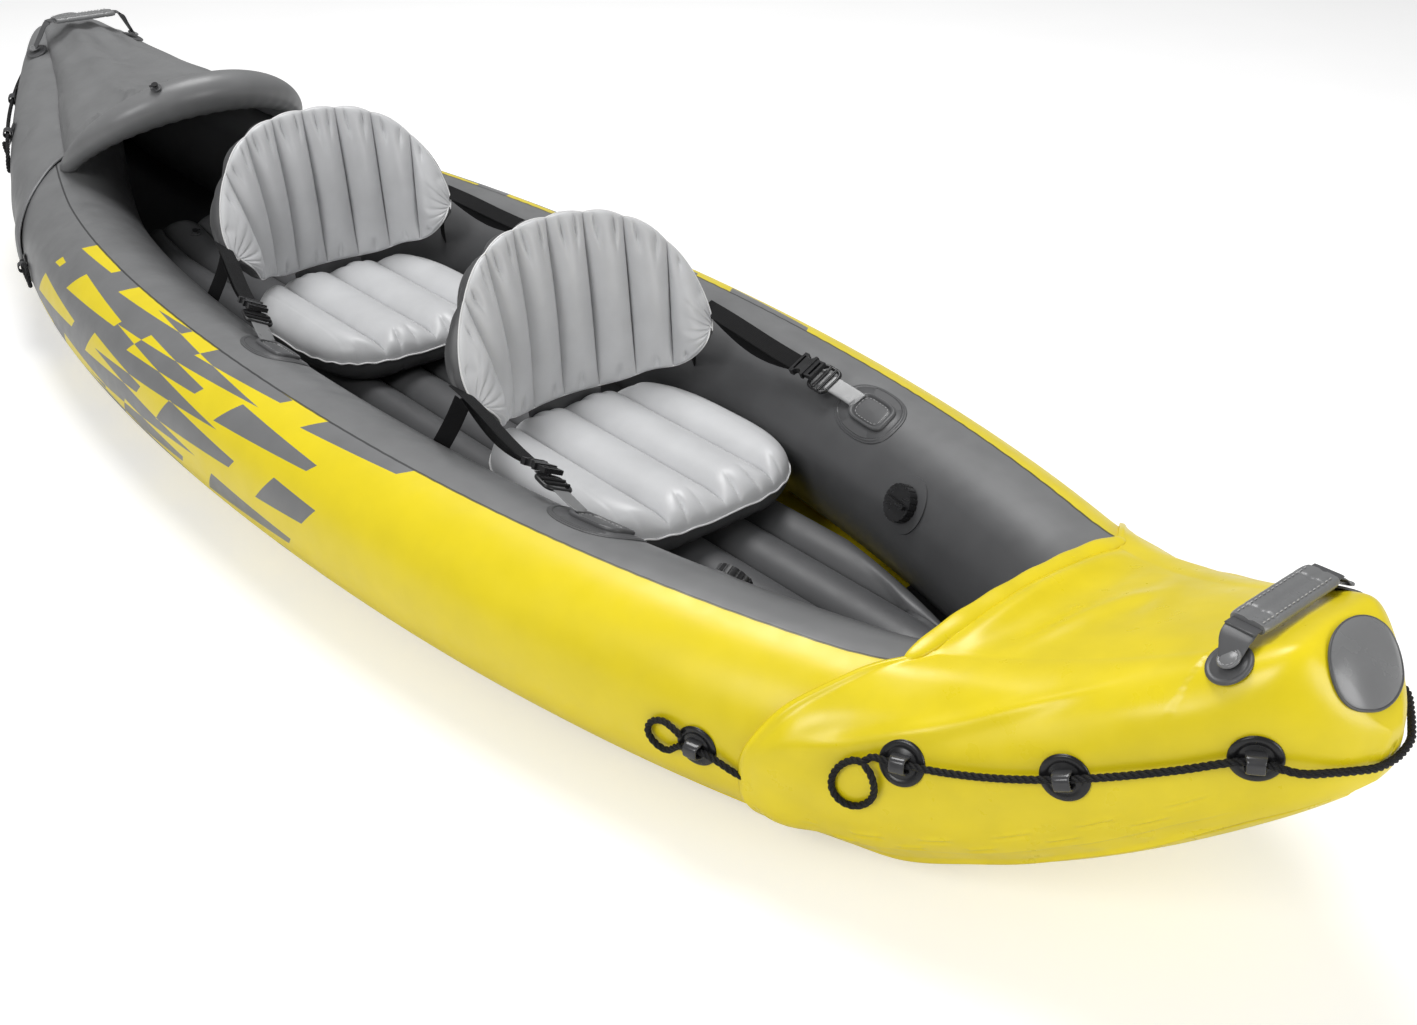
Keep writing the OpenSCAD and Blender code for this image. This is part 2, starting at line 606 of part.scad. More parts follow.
module strap_buckles() {
    color(black) for (x0 = seat_spots) for (side = [-1, 1])
        at_frame(pull(x0, side, buckle_at) - (buckle_start - contact) * pull_dir(x0, side),
            pull_normal(x0, side), pull_dir(x0, side)) buckle();
}

// Oval patch that follows the chamber, with a web tab that leads to the buckle
pad_len = 92;
pad_w = 66;
pad_t = 2;
module oval(l, w) {
    square([l - w, w], center = true);
    for (s = [-1, 1]) translate([s * (l - w) / 2, 0]) circle(d = w);
}
module wrapped_pad(r, lift, t) {
    intersection() {
        translate([0, 0, -r]) linear_extrude(2 * r) children();
        translate([0, 0, -r]) rotate([0, 90, 0]) difference() {
            cylinder(r = r + lift + t, h = 4 * pad_len, center = true, $fn = 96);
            cylinder(r = r + lift, h = 5 * pad_len, center = true, $fn = 96);
        }
    }
}
// Square ring on the patch that the web is sewn round
ring_len = 46;
ring_w = 42;
ring_bar = 8;
ring_h = 5;
ring_x = 10;
ring_corner = [12, 5];
module rounded(l, w, r) {
    square([l - 2 * r, w], center = true);
    square([l, w - 2 * r], center = true);
    for (a = [-1, 1]) for (b = [-1, 1]) translate([a * (l / 2 - r), b * (w / 2 - r)]) circle(r = r);
}
module patch_ring() {
    translate([ring_x, 0, pad_t]) linear_extrude(ring_h - pad_t) difference() {
        rounded(ring_len, ring_w, ring_corner[0]);
        rounded(ring_len - 2 * ring_bar, ring_w - 2 * ring_bar, ring_corner[1]);
    }
}
module strap_patches() {
    color(hull_grey) for (x0 = seat_spots) for (side = [-1, 1]) {
        x = patch_x(x0);
        at_frame(skin(x, patch_th, 0, side), skin_normal(x, patch_th, side),
            skin(x + 2, patch_th, 0, side) - skin(x - 2, patch_th, 0, side)) {
            wrapped_pad(tube_r, contact, pad_t) oval(pad_len, pad_w);
            patch_ring();
        }
    }
    color(black) for (x0 = seat_spots) for (side = [-1, 1]) {
        x = patch_x(x0);
        n = pull_normal(x0, side);
        a = pull(x0, side, buckle_at) + (buckle_len * buckle_end + 2 * contact - buckle_start) * pull_dir(x0, side);
        b = skin(x + ring_x - ring_len / 2 + ring_bar / 2, patch_th, ring_h - web_t / 2, side);
        ribbon([a, pull_end(x0, side), b], [n, n, n], [web_w, web_w, web_w], web_t);
    }
}

// Carry handles: patches, webbing and a folded grip
handle_th = 68;
handle_r = 22;
bow_handle_len = 115;
grip_clear = 12;
bead_d = 9;
bead_len = 4;
bead_clear = 1.4;
stern_handle_len = 178;
stern_handle_th = 72;
bow_grip_back = 6;
stern_grip_ahead = 20;
grip_end = 8;
grip_wall = 3.5;
// Widths of the webbing at the bead, half-way up and in the grip
strap_widths = [12, 26, grip_w - 8];
function handle_pivot(x, th, side) =
    skin(x, th, cover_c + contact + fitting_t + bead_d / 2 + bead_clear, side);
module round_patches(x, th) {
    color(hull_grey) for (side = [-1, 1])
        at_frame(skin(x, th, cover_c + contact, side), skin_normal(x, th, side), [1, 0, 0])
            cylinder(r = handle_r, h = fitting_t);
}
function handle_path(x, th, grip) =
    let (p = handle_pivot(x, th, 1), q = [grip[0], grip_len / 2, grip[2]],
         k = [mixed(p[0], q[0], 0.8), q[1] + 10, q[2] - 6],
         half = [p, mixed(p, k, 0.55), k, q - [0, 0, 1], q - [0, 6, 0]])
    concat(half, [for (i = [len(half) - 1 : -1 : 0]) flip(half[i], -1)]);
module handle_strap(x, th, grip) {
    path = handle_path(x, th, grip);
    rungs = [for (i = [0 : len(path) - 1]) min(i, len(path) - 1 - i)];
    color(black) {
        ribbon(path, [for (i = [0 : len(path) - 1]) let (s = sign(path[i][1]))
            rungs[i] < 2 ? [0, s, 0.7] : rungs[i] == 2 ? [0, s, 1.4] : [0, 0, 1]],
            [for (k = rungs) strap_widths[min(k, 2)]], web_t);
        for (side = [-1, 1]) translate(handle_pivot(x, th, side)) rotate([90, 0, 0])
            cylinder(d = bead_d, h = bead_len, center = true);
    }
}
module handle_grip(grip) {
    color(hull_grey) translate(grip) rotate([90, 0, 0]) difference() {
        linear_extrude(grip_len - 2 * grip_end, center = true) oval(grip_w, grip_t);
        cube([grip_w - 2 * grip_wall, web_t + 1, grip_len], center = true);
    }
}
bow_handle_x = half_len - bow_handle_len;
stern_handle_x = -(half_len - stern_handle_len);
function grip_place(x, deck) = [x, 0, deck + grip_clear + grip_t / 2];
bow_grip = grip_place(bow_handle_x - bow_grip_back, bow_deck(bow_handle_x - bow_grip_back, 0, cover_c));
stern_grip = grip_place(stern_handle_x + stern_grip_ahead,
    stern_top(stern_handle_x + stern_grip_ahead, 0, cover_c));
module bow_handle_patches() { round_patches(bow_handle_x, handle_th); }
module bow_handle_strap() { handle_strap(bow_handle_x, handle_th, bow_grip); }
module bow_handle_grip() { handle_grip(bow_grip); }
module stern_handle_patches() { round_patches(stern_handle_x, stern_handle_th); }
module stern_handle_strap() { handle_strap(stern_handle_x, stern_handle_th, stern_grip); }
module stern_handle_grip() { handle_grip(stern_grip); }

// Grab lines, led round the ends through disc fittings with a bridge
fitting_lens = [343, 202, 68];
rope_th = 22.6;
rope_fall = 0.076;
rope_lift = 1.8;
rope_c = cover_c + contact + fitting_t + rope_lift + rope_d / 2;
rope_tail = 24;
rope_lead = 10;
function rope_angle(d) = rope_th - rope_fall * (d - (half_len - fitting_lens[0]));
function line_at(end, d, side) = skin(end * d, rope_angle(d), rope_c, side);
line_ds = let (f = [for (l = fitting_lens) half_len - l])
    [f[0] - rope_tail, f[0] - rope_lead, f[0] + rope_lead, mixed(f[0], f[1], 0.35), mixed(f[0], f[1], 0.65),
     f[1] - rope_lead, f[1] + rope_lead, mixed(f[1], f[2], 0.35), mixed(f[1], f[2], 0.65),
     f[2] - rope_lead, f[2] + rope_lead];
rope_rest = cover_c + contact + rope_d / 2;
// Distances from the tip where the line bends round the nose, with its height over the hull there
nose_steps = [[fitting_lens[2] - fitting_r - 2, rope_c + 2], [24, rope_rest + 2],
    [12, rope_rest], [4, rope_rest]];
function nose_point(end, step, z) =
    let (d = half_len - step[0], t = unit([2, half_w(end * (d + 1)) - half_w(end * (d - 1))]))
    [end * (d - step[1] * t[1]), half_w(end * d) + step[1] * t[0], z];
function line_path(end) =
    let (s = [for (d = line_ds) line_at(end, d, 1)], z1 = s[len(s) - 1][2], z0 = cham_z(end * half_len),
         half = concat(s, [for (k = [0 : len(nose_steps) - 1])
            nose_point(end, nose_steps[k], mixed(z1, z0, (k + 1) / (len(nose_steps) + 1)))]),
         tip = end * (half_len + sheet_t + contact + rope_d / 2))
    concat(half, [[tip, rope_d, z0], [tip, -rope_d, z0]], [for (p = backwards(half)) flip(p, -1)]);
module bow_grab_line() { color(black) rope(line_path(1), rope_d); }
module stern_grab_line() { color(black) rope(line_path(-1), rope_d); }
bridge_len = 16;
bridge_wall = 3;
bridge_clear = 2.5;
module rope_fitting() {
    inner = rope_d + 2 * bridge_clear;
    tall = rope_d + 2 * rope_lift;
    outer = inner + 2 * bridge_wall;
    cylinder(r = fitting_r, h = fitting_t);
    difference() {
        translate([-bridge_len / 2, -outer / 2, 0]) cube([bridge_len, outer, fitting_t + tall + bridge_wall]);
        translate([-bridge_len, -inner / 2, fitting_t]) cube([2 * bridge_len, inner, tall]);
    }
}
module end_fittings(end) {
    color(black) for (l = fitting_lens) for (side = [-1, 1]) {
        d = half_len - l;
        at_frame(skin(end * d, rope_angle(d), cover_c + contact, side),
            skin_normal(end * d, rope_angle(d), side), line_at(end, d + 3, side) - line_at(end, d - 3, side))
            rope_fitting();
    }
}
module bow_rope_fittings() { end_fittings(1); }
module stern_rope_fittings() { end_fittings(-1); }

// Side fittings on the chambers, with short cords that tie the covers' lobes
side_clear = [51, 38];
tie_len = 34;
tie_lift = 0.75;
side_spots = [half_len - bow_deck_len - cover_lobe - side_clear[0],
    arch_foot_len - half_len - arch_r + cover_lobe + side_clear[1]];
tie_c = contact + fitting_t + tie_lift + rope_d / 2;
module side_rope_fittings() {
    color(black) for (x = side_spots) for (side = [-1, 1])
        at_frame(skin(x, 0, contact, side), skin_normal(x, 0, side), [1, 0, 0]) rope_fitting();
}
module cover_ties() {
    color(black) for (x = side_spots) for (side = [-1, 1])
        rope([for (d = [-tie_len, -rope_lead, rope_lead, tie_len]) skin(x + d, 0, tie_c, side)], rope_d);
}

// Two-way valves on the inner faces of the chambers
valve_th = 154;
neck_h = 11;
cap_h = 10;
cap_wall = 2;
cap_ribs = 18;
neck_clear = 0.3;
flange_t = 2;
neck_wall = 2.5;
bar_w = 5;
bar_share = 1.5;
rib_r = 2;
module at_valve(side) {
    at_frame(skin(valve_x, valve_th, 0, side), skin_normal(valve_x, valve_th, side),
        skin(valve_x + 2, valve_th, 0, side) - skin(valve_x - 2, valve_th, 0, side)) children();
}
module valve_base(side) {
    color(dark_grey) at_valve(side) {
        wrapped_pad(tube_r, contact, flange_t) circle(r = valve_flange_r);
        translate([0, 0, contact]) difference() {
            cylinder(r = valve_neck_r, h = neck_h);
            translate([0, 0, flange_t]) cylinder(r = valve_neck_r - neck_wall, h = neck_h);
        }
    }
}
module valve_cap(side) {
    color(black) at_valve(side) translate([0, 0, contact + flange_t + contact]) {
        difference() {
            cylinder(r = valve_cap_r, h = cap_h + cap_wall);
            translate([0, 0, -1]) cylinder(r = valve_neck_r + neck_clear, h = cap_h + 1);
            for (k = [0 : cap_ribs - 1]) rotate(360 * k / cap_ribs) translate([valve_cap_r + 1, 0, -1])
                cylinder(r = rib_r, h = cap_h + cap_wall + 2, $fn = 16);
        }
        translate([-valve_cap_r * bar_share / 2, -bar_w / 2, cap_h + cap_wall])
            cube([valve_cap_r * bar_share, bar_w, bar_w]);
    }
}
module starboard_valve_base() { valve_base(-1); }
module starboard_valve_cap() { valve_cap(-1); }
module port_valve_base() { valve_base(1); }
module port_valve_cap() { valve_cap(1); }

// Small stem valves with a push-in plug
stem_flange_r = 10;
stem_r = 5;
stem_h = 6;
stem_flange_t = 1.5;
stem_floor = 0.8;
plug_clear = 0.1;
plug_gap = 2;
plug_head_t = 2.5;
plug_over = 0.8;
tab_len = 5;
tab_w = 4;
tab_t = 1.6;
module stem_valve(tint) {
    color(tint) difference() {
        union() {
            cylinder(r = stem_flange_r, h = stem_flange_t);
            cylinder(r = stem_r, h = stem_h);
        }
        translate([0, 0, stem_floor]) cylinder(r = stem_bore_r, h = stem_h);
    }
}
module stem_plug(tint) {
    color(tint) {
        translate([0, 0, plug_gap])
            cylinder(r = stem_bore_r - plug_clear, h = stem_h + contact + tab_t - plug_gap);
        translate([0, 0, stem_h + contact]) {
            cylinder(r = stem_r + plug_over, h = plug_head_t);
            translate([0, -tab_w / 2, 0]) cube([stem_r + tab_len, tab_w, tab_t]);
        }
    }
}
floor_valve_x = -860;
module at_floor_valve() {
    y = -floor_pitch / 2;
    slope = (floor_z(floor_valve_x + 5, y, true) - floor_z(floor_valve_x - 5, y, true)) / 10;
    n = unit([-slope, 0, 1]);
    at_frame([floor_valve_x, y, floor_z(floor_valve_x, y, true)] + contact * n, n, [0, 1, 0]) children();
}
arch_valve_phi = 112;
arch_valve_tilt = 60;
module at_arch_valve() {
    t = arch_heading(arch_valve_phi);
    n = cos(arch_valve_tilt) * arch_up + sin(arch_valve_tilt) * unit([arch_lean, 0, arch_rise]);
    m = unit(n - t * (n * t));
    at_frame(arch_at(arch_valve_phi) + (arch_r + contact) * m, m, t) children();
}
seat_valve_share = 0.618;
seat_valve_sink = 0.5;
module at_seat_valve(x0) {
    e = seat_valve_share;
    xi = pow(1 - pow(e, seat_power), 1 / seat_power);
    n = unit([-pow(xi, seat_power - 1) * 2 / seat_len, -pow(e, seat_power - 1) / seat_half_w, 0]);
    p = [x0 - seat_back + seat_len / 2 * (1 - xi), -e * seat_half_w, seat_z0 + seat_seam * seat_t];
    at_frame(p - seat_valve_sink * n, n, [0, 0, 1]) children();
}
back_valve_u = -0.375;
back_valve_v = 0.3;
function back_outward(x0, u, v) =
    let (du = back_point(x0, u + 0.03, v, -1) - back_point(x0, u - 0.03, v, -1),
         dv = back_point(x0, u, v + 0.04, -1) - back_point(x0, u, v - 0.04, -1)) unit(cross(dv, du));
module at_back_valve(x0) {
    n = back_outward(x0, back_valve_u, back_valve_v);
    at_frame(back_point(x0, back_valve_u, back_valve_v, -1) + contact * n, n, [0, 1, 0]) children();
}
module floor_valve() { at_floor_valve() stem_valve(dark_grey); }
module floor_valve_plug() { at_floor_valve() stem_plug(black); }
module arch_valve() { at_arch_valve() stem_valve(hull_grey); }
module arch_valve_plug() { at_arch_valve() stem_plug(black); }
module front_seat_valve() { at_seat_valve(seat_spots[0]) stem_valve(clear); }
module front_seat_plug() { at_seat_valve(seat_spots[0]) stem_plug(clear); }
module rear_seat_valve() { at_seat_valve(seat_spots[1]) stem_valve(clear); }
module rear_seat_plug() { at_seat_valve(seat_spots[1]) stem_plug(clear); }
module front_backrest_valve() { at_back_valve(seat_spots[0]) stem_valve(clear); }
module front_backrest_plug() { at_back_valve(seat_spots[0]) stem_plug(clear); }
module rear_backrest_valve() { at_back_valve(seat_spots[1]) stem_valve(clear); }
module rear_backrest_plug() { at_back_valve(seat_spots[1]) stem_plug(clear); }

starboard_chamber();
port_chamber();
bottom_sheet();
inflatable_floor();
bow_cover();
bow_deck_rim();
bow_nose_cap();
stern_cover();
stern_end_cap();
coaming_arch();
front_seat_base();
rear_seat_base();
front_backrest();
rear_backrest();
front_seat_straps();
rear_seat_straps();
strap_buckles();
strap_patches();
bow_handle_patches();
bow_handle_strap();
bow_handle_grip();
stern_handle_patches();
stern_handle_strap();
stern_handle_grip();
bow_rope_fittings();
bow_grab_line();
stern_rope_fittings();
stern_grab_line();
side_rope_fittings();
cover_ties();
starboard_valve_base();
starboard_valve_cap();
port_valve_base();
port_valve_cap();
floor_valve();
floor_valve_plug();
arch_valve();
arch_valve_plug();
front_seat_valve();
front_seat_plug();
rear_seat_valve();
rear_seat_plug();
front_backrest_valve();
front_backrest_plug();
rear_backrest_valve();
rear_backrest_plug();
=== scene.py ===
"""Looks of a two-seat inflatable kayak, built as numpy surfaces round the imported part."""

import math

import bpy
import numpy as np
from bpy.props import FloatProperty, FloatVectorProperty, IntProperty, PointerProperty
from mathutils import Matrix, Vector


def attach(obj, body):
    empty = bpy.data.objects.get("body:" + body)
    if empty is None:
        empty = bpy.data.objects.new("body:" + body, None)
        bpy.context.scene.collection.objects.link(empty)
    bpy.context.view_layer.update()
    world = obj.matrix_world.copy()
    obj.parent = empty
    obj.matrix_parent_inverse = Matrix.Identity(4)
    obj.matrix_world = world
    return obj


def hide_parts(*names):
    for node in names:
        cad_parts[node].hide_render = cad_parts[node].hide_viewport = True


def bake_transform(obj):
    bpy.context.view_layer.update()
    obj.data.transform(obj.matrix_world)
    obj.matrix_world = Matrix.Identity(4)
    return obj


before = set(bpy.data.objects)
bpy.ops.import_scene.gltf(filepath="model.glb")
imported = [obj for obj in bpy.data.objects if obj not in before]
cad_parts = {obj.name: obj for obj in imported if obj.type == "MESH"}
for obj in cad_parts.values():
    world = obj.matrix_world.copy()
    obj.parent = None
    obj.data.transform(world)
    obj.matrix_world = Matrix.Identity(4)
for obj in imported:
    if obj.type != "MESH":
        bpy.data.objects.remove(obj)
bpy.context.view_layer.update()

bl_info = {
    "name": "Inflatable Kayak Looks",
    "version": (1, 0, 0),
    "blender": (4, 5, 0),
    "location": "3D View > Sidebar > Kayak",
    "description": "Skins, seats, ropes and fittings of a two-seat inflatable kayak",
    "category": "Add Mesh",
}

MM = 0.001

# Sizes of the part's source, in millimetres
HALF_LEN = 1560.0
HALF_BEAM = 450.0
TUBE_R = 114.0
PLAN_FULL = 0.525
TIP_W = (50.0, 32.0)
CENTER_GAP = 1.0
KEEL_LIFT = 20.5
SHEER_0 = 248.5
COVER_C = 4.2
BOTTOM_C = 3.5
CONTACT = 0.4
NOSE_LEN = 60.0
NOSE_POWER = 2.6
NOSE_LEAST = 0.05
FACE_RISE = 30.0
FACE_BACK = 40.0
FACE_FROM = 80.0
FACE_SOFT = 25.0
SECTION_SOFT = 12.0
SECTION_LEAST = 3.0
KEEL_LEN = (410.0, 780.0)
KEEL_RISE = (250.0, 265.0)
KEEL_POWER = (1.7, 1.5)
SHEER_LEN = (480.0, 770.0)
SHEER_RISE = (162.0, 180.0)
SHEER_POWER = (1.8, 1.4)
TIP_Z = (322.0, 330.0)
DECK_X = HALF_LEN - 397.0
LOBE = 104.0
LOBE_SHARE = 0.72
SEAM_TH = -54.0
BOW_CROWN = 12.0
RIM_D = 14.0
ARCH_FOOT_X = -(HALF_LEN - 617.0)
ARCH_LEAN = 167.0
ARCH_RISE = 118.0
ARCH_FOOT_H = 18.0
ARCH_R = 37.0
STERN_CROWN = ARCH_FOOT_H + ARCH_RISE + 8.0
CROWN_FALL = 1.25
CROWN_ROUND = (0.5, 0.8)
FLOOR_X = (-960.0, 1090.0)
FLOOR_T = 106.0
FLOOR_PITCH = 75.0
SEAT_SPOTS = (322.0, -382.0)
SEAT_LEN = 370.0
SEAT_HALF_W = 178.0
SEAT_T = 78.0
SEAT_POWER = 3.2
SEAT_BACK = 6.0
SEAT_Z0 = 110.7
HINGE_Z = 189.7
HINGE_GAP = 0.8
BACK_H = 262.0
BACK_HALF_W = 226.0
BACK_LOW_W = 178.0
BACK_HALF_T = 30.0
WING_REACH = 124.0
WING_TOP = 0.77
WING_LIFT = 52.0
BACK_RAKE = 23.0
BACK_FALL = (40.0, 110.0)
WEB_W = 26.0
WEB_T = 2.0
PATCH_REACH = 384.0
PATCH_TH = 117.0
BUCKLE_AT = 0.62
GRIP_LEN = 138.0
GRIP_W = 38.0
GRIP_T = 14.0
ROPE_D = 8.0
FITTING_R = 24.0
FITTING_T = 2.5
FITTING_LENS = (343.0, 202.0, 68.0)
ROPE_LIFT = 1.8
ROPE_REST = COVER_C + CONTACT + ROPE_D / 2
LINE_C = ROPE_REST + FITTING_T + ROPE_LIFT
SIDE_SPOTS = (HALF_LEN - 552.0, -(HALF_LEN - 722.0))
SIDES = ((-1, "starboard"), (1, "port"))
SEATS = tuple(zip(SEAT_SPOTS, ("front", "rear")))
MIRROR = np.array([1.0, -1.0, 1.0])

# Hull lines


def ramp(x, x0, x1):
    """Zero up to x0, then rising straight to one at x1 and on."""
    return np.maximum(0.0, (x - x0) / (x1 - x0))


def mixed(a, b, s):
    """Straight mix from a to b by the share s."""
    return a + (b - a) * s


def soft_min(a, b, k):
    """Smaller of a and b, rounded over a width k where they cross."""
    return (a + b - np.sqrt((a - b) ** 2 + k * k)) / 2


def smooth(t):
    """Smooth step of t from zero to one."""
    t = np.clip(t, 0.0, 1.0)
    return t * t * (3 - 2 * t)


def bell(d, width):
    """Bell curve: one where d is nought, falling with the square of d over the width."""
    return np.exp(-((d / width) ** 2))


def blunt(wave, power):
    """Power of a wave that keeps its sign, which squares off a circle."""
    return np.sign(wave) * np.abs(wave) ** power


def walked(path):
    """Distance walked along a path up to each of its points."""
    return np.concatenate([[0.0], np.cumsum(np.linalg.norm(np.diff(path, axis=0), axis=-1))])


def xyz(x, y, z):
    """Points from three coordinates, each widened to the shape of the others."""
    return np.stack(np.broadcast_arrays(x, y, z), axis=-1)


def turns(count):
    """Even angles once round, without the last that meets the first."""
    return np.linspace(0, 2 * np.pi, count, endpoint=False)


def read_at(at, knots, rows):
    """Rows of three numbers read off between knots."""
    return np.stack([np.interp(at, knots, rows[:, k]) for k in range(3)], axis=-1)


def by_end(x, pair):
    """First value of the pair at the bow half, second at the stern half."""
    return np.where(x >= 0, pair[0], pair[1])


def unit(v):
    """Vectors of v at length one, along the last axis."""
    return v / np.linalg.norm(v, axis=-1, keepdims=True)


def half_w(x):
    """Half-breadth: beam times one minus a square and a fourth power of x, rounded at the nose."""
    t = x / HALF_LEN
    k4 = 1 - PLAN_FULL - by_end(x, TIP_W) / HALF_BEAM
    line = HALF_BEAM * (1 - PLAN_FULL * t**2 - k4 * t**4)
    q = np.minimum(1.0, ramp(np.abs(x), HALF_LEN - NOSE_LEN, HALF_LEN))
    return line * np.maximum(NOSE_LEAST, 1 - q**NOSE_POWER) ** (1 / NOSE_POWER)


def keel_z(x):
    """Underside: level, then rising by a power of the distance towards each tip."""
    t = ramp(np.abs(x), HALF_LEN - by_end(x, KEEL_LEN), HALF_LEN)
    return KEEL_LIFT + by_end(x, KEEL_RISE) * t ** by_end(x, KEEL_POWER)


def sheer_z(x):
    """Top line: level, rising to a peak near each tip, where a raked nose face cuts it off softly."""
    d = np.abs(x)
    x1 = HALF_LEN - NOSE_LEN
    rise = by_end(x, SHEER_RISE)
    top = SHEER_0 + rise * ramp(d, HALF_LEN - by_end(x, SHEER_LEN), x1) ** by_end(x, SHEER_POWER)
    high = SHEER_0 + rise + FACE_RISE
    face = high - (high - by_end(x, TIP_Z)) * ramp(d, x1 - FACE_BACK, HALF_LEN)
    return np.where(d < x1 - FACE_FROM, top, soft_min(top, face, FACE_SOFT))


def cham_a(x):
    """Half-breadth of one chamber's section."""
    return soft_min(TUBE_R, (half_w(x) - CENTER_GAP) / 2, SECTION_SOFT)


def cham_b(x):
    """Half-height of one chamber's section."""
    return np.maximum(SECTION_LEAST, (sheer_z(x) - keel_z(x)) / 2)


def cham_y(x):
    """Distance of a chamber's axis from the centre plane."""
    return half_w(x) - cham_a(x)


def cham_z(x):
    """Height of a chamber's axis."""
    return (sheer_z(x) + keel_z(x)) / 2


def skin(x, th, c, side):
    """Point on a chamber's elliptic section at x and angle th, lifted by c from its surface."""
    x, th, c = np.broadcast_arrays(np.asarray(x, float), np.asarray(th, float), np.asarray(c, float))
    a = np.radians(th)
    y = side * (cham_y(x) + (cham_a(x) + c) * np.cos(a))
    return xyz(x, y, cham_z(x) + (cham_b(x) + c) * np.sin(a))


def skin_normal(x, th, side):
    """Outward normal of the chamber from its differences along x and th."""
    along = skin(x + 2.0, th, 0.0, side) - skin(x - 2.0, th, 0.0, side)
    around = skin(x, th + 1.0, 0.0, side) - skin(x, th - 1.0, 0.0, side)
    return side * unit(np.cross(around, along))


def top_z(x, y, c):
    """Height of the sheet over the two chambers: level between their crowns, then down their outer sides."""
    d = np.minimum(1.0, np.maximum(0.0, np.abs(y) - cham_y(x)) / (cham_a(x) + c))
    return cham_z(x) + (cham_b(x) + c) * np.sqrt(1 - d * d)


def bow_deck(x, y, c):
    """Bow deck: the sheet over the chambers with a crown that runs out at the tip."""
    s = ramp(x, DECK_X, HALF_LEN)
    e = np.minimum(1.0, np.abs(y) / cham_y(x))
    return top_z(x, y, c) + BOW_CROWN * (1 - s) * (1 - e * e)


def deck_reach(e):
    """Forward edge of the stern deck under the arch at the share e of the half-breadth."""
    return ARCH_FOOT_X + ARCH_LEAN * np.sqrt(np.maximum(0.0, 1 - e * e))


def stern_top(x, y, c):
    """Stern deck: mixes the top lines of arch foot and station, with a crown that falls to the tip."""
    e = np.clip(y / cham_y(x), -1.0, 1.0)
    reach = deck_reach(e)
    s = np.clip((reach - x) / (reach + HALF_LEN), 0.0, 1.0)
    crown = STERN_CROWN * (1 - s**CROWN_FALL) * np.maximum(0.0, 1 - e * e) ** mixed(*CROWN_ROUND, s)
    return mixed(sheer_z(np.float64(ARCH_FOOT_X)), sheer_z(x), np.minimum(1.0, 3 * s)) + c + crown


def lobe(th):
    """How far a cover's side reaches past its deck edge, a sine of the angle down the side."""
    return LOBE * np.sin(np.pi * LOBE_SHARE * (90.0 - th) / (90.0 - SEAM_TH))


def arch_at(phi):
    """Centre line of the coaming arch: half an ellipse that leans forward."""
    a = np.radians(phi)
    foot = np.float64(ARCH_FOOT_X)
    x = ARCH_FOOT_X + ARCH_LEAN * np.sin(a)
    return xyz(x, cham_y(foot) * np.cos(a), sheer_z(foot) + ARCH_FOOT_H + ARCH_RISE * np.sin(a))


def back_mid(x0, u, v):
    """Middle surface of a backrest: lower and upper edge curves mixed by v, swept forward at the wings."""
    yb = BACK_LOW_W * u * (1.35 - 0.35 * u * u)
    yt = BACK_HALF_W * u * (1.044 - 0.044 * u * u)
    xb = WING_REACH * u * u
    xt = WING_TOP * WING_REACH * u * u - BACK_RAKE
    zb = WING_LIFT * np.abs(u) ** 3
    zt = BACK_H - BACK_FALL[0] * u * u - BACK_FALL[1] * u**4
    return xyz(x0 + mixed(xb, xt, v), mixed(yb, yt, v), HINGE_Z + HINGE_GAP + mixed(zb, zt, v))


def back_normal(x0, u, v):
    """Level normal of the backrest's middle surface, pointing forward."""
    d = back_mid(x0, u + 0.01, v) - back_mid(x0, u - 0.01, v)
    return unit(xyz(d[..., 1], -d[..., 0], 0.0))


# Mesh making


def quads(rows, cols, wrap):
    """Corner numbers of a grid's four-sided faces."""
    ids = np.arange(rows * cols).reshape(rows, cols)
    if wrap:
        ids = np.concatenate([ids, ids[:, :1]], axis=1)
    return np.stack([ids[:-1, :-1], ids[:-1, 1:], ids[1:, 1:], ids[1:, :-1]], axis=-1).reshape(-1, 4)


def metre_map(points, wrap):
    """Map of a grid in metres: mean distance walked along the rows and along the columns."""
    whole = np.concatenate([points, points[:, :1]], axis=1) if wrap else points
    down = np.linalg.norm(np.diff(whole, axis=0), axis=-1).mean(axis=1)
    across = np.linalg.norm(np.diff(whole, axis=1), axis=-1).mean(axis=0)
    u = np.concatenate([[0.0], np.cumsum(down)]) * MM
    v = np.concatenate([[0.0], np.cumsum(across)]) * MM
    return np.stack(np.meshgrid(u, v, indexing="ij"), axis=-1)


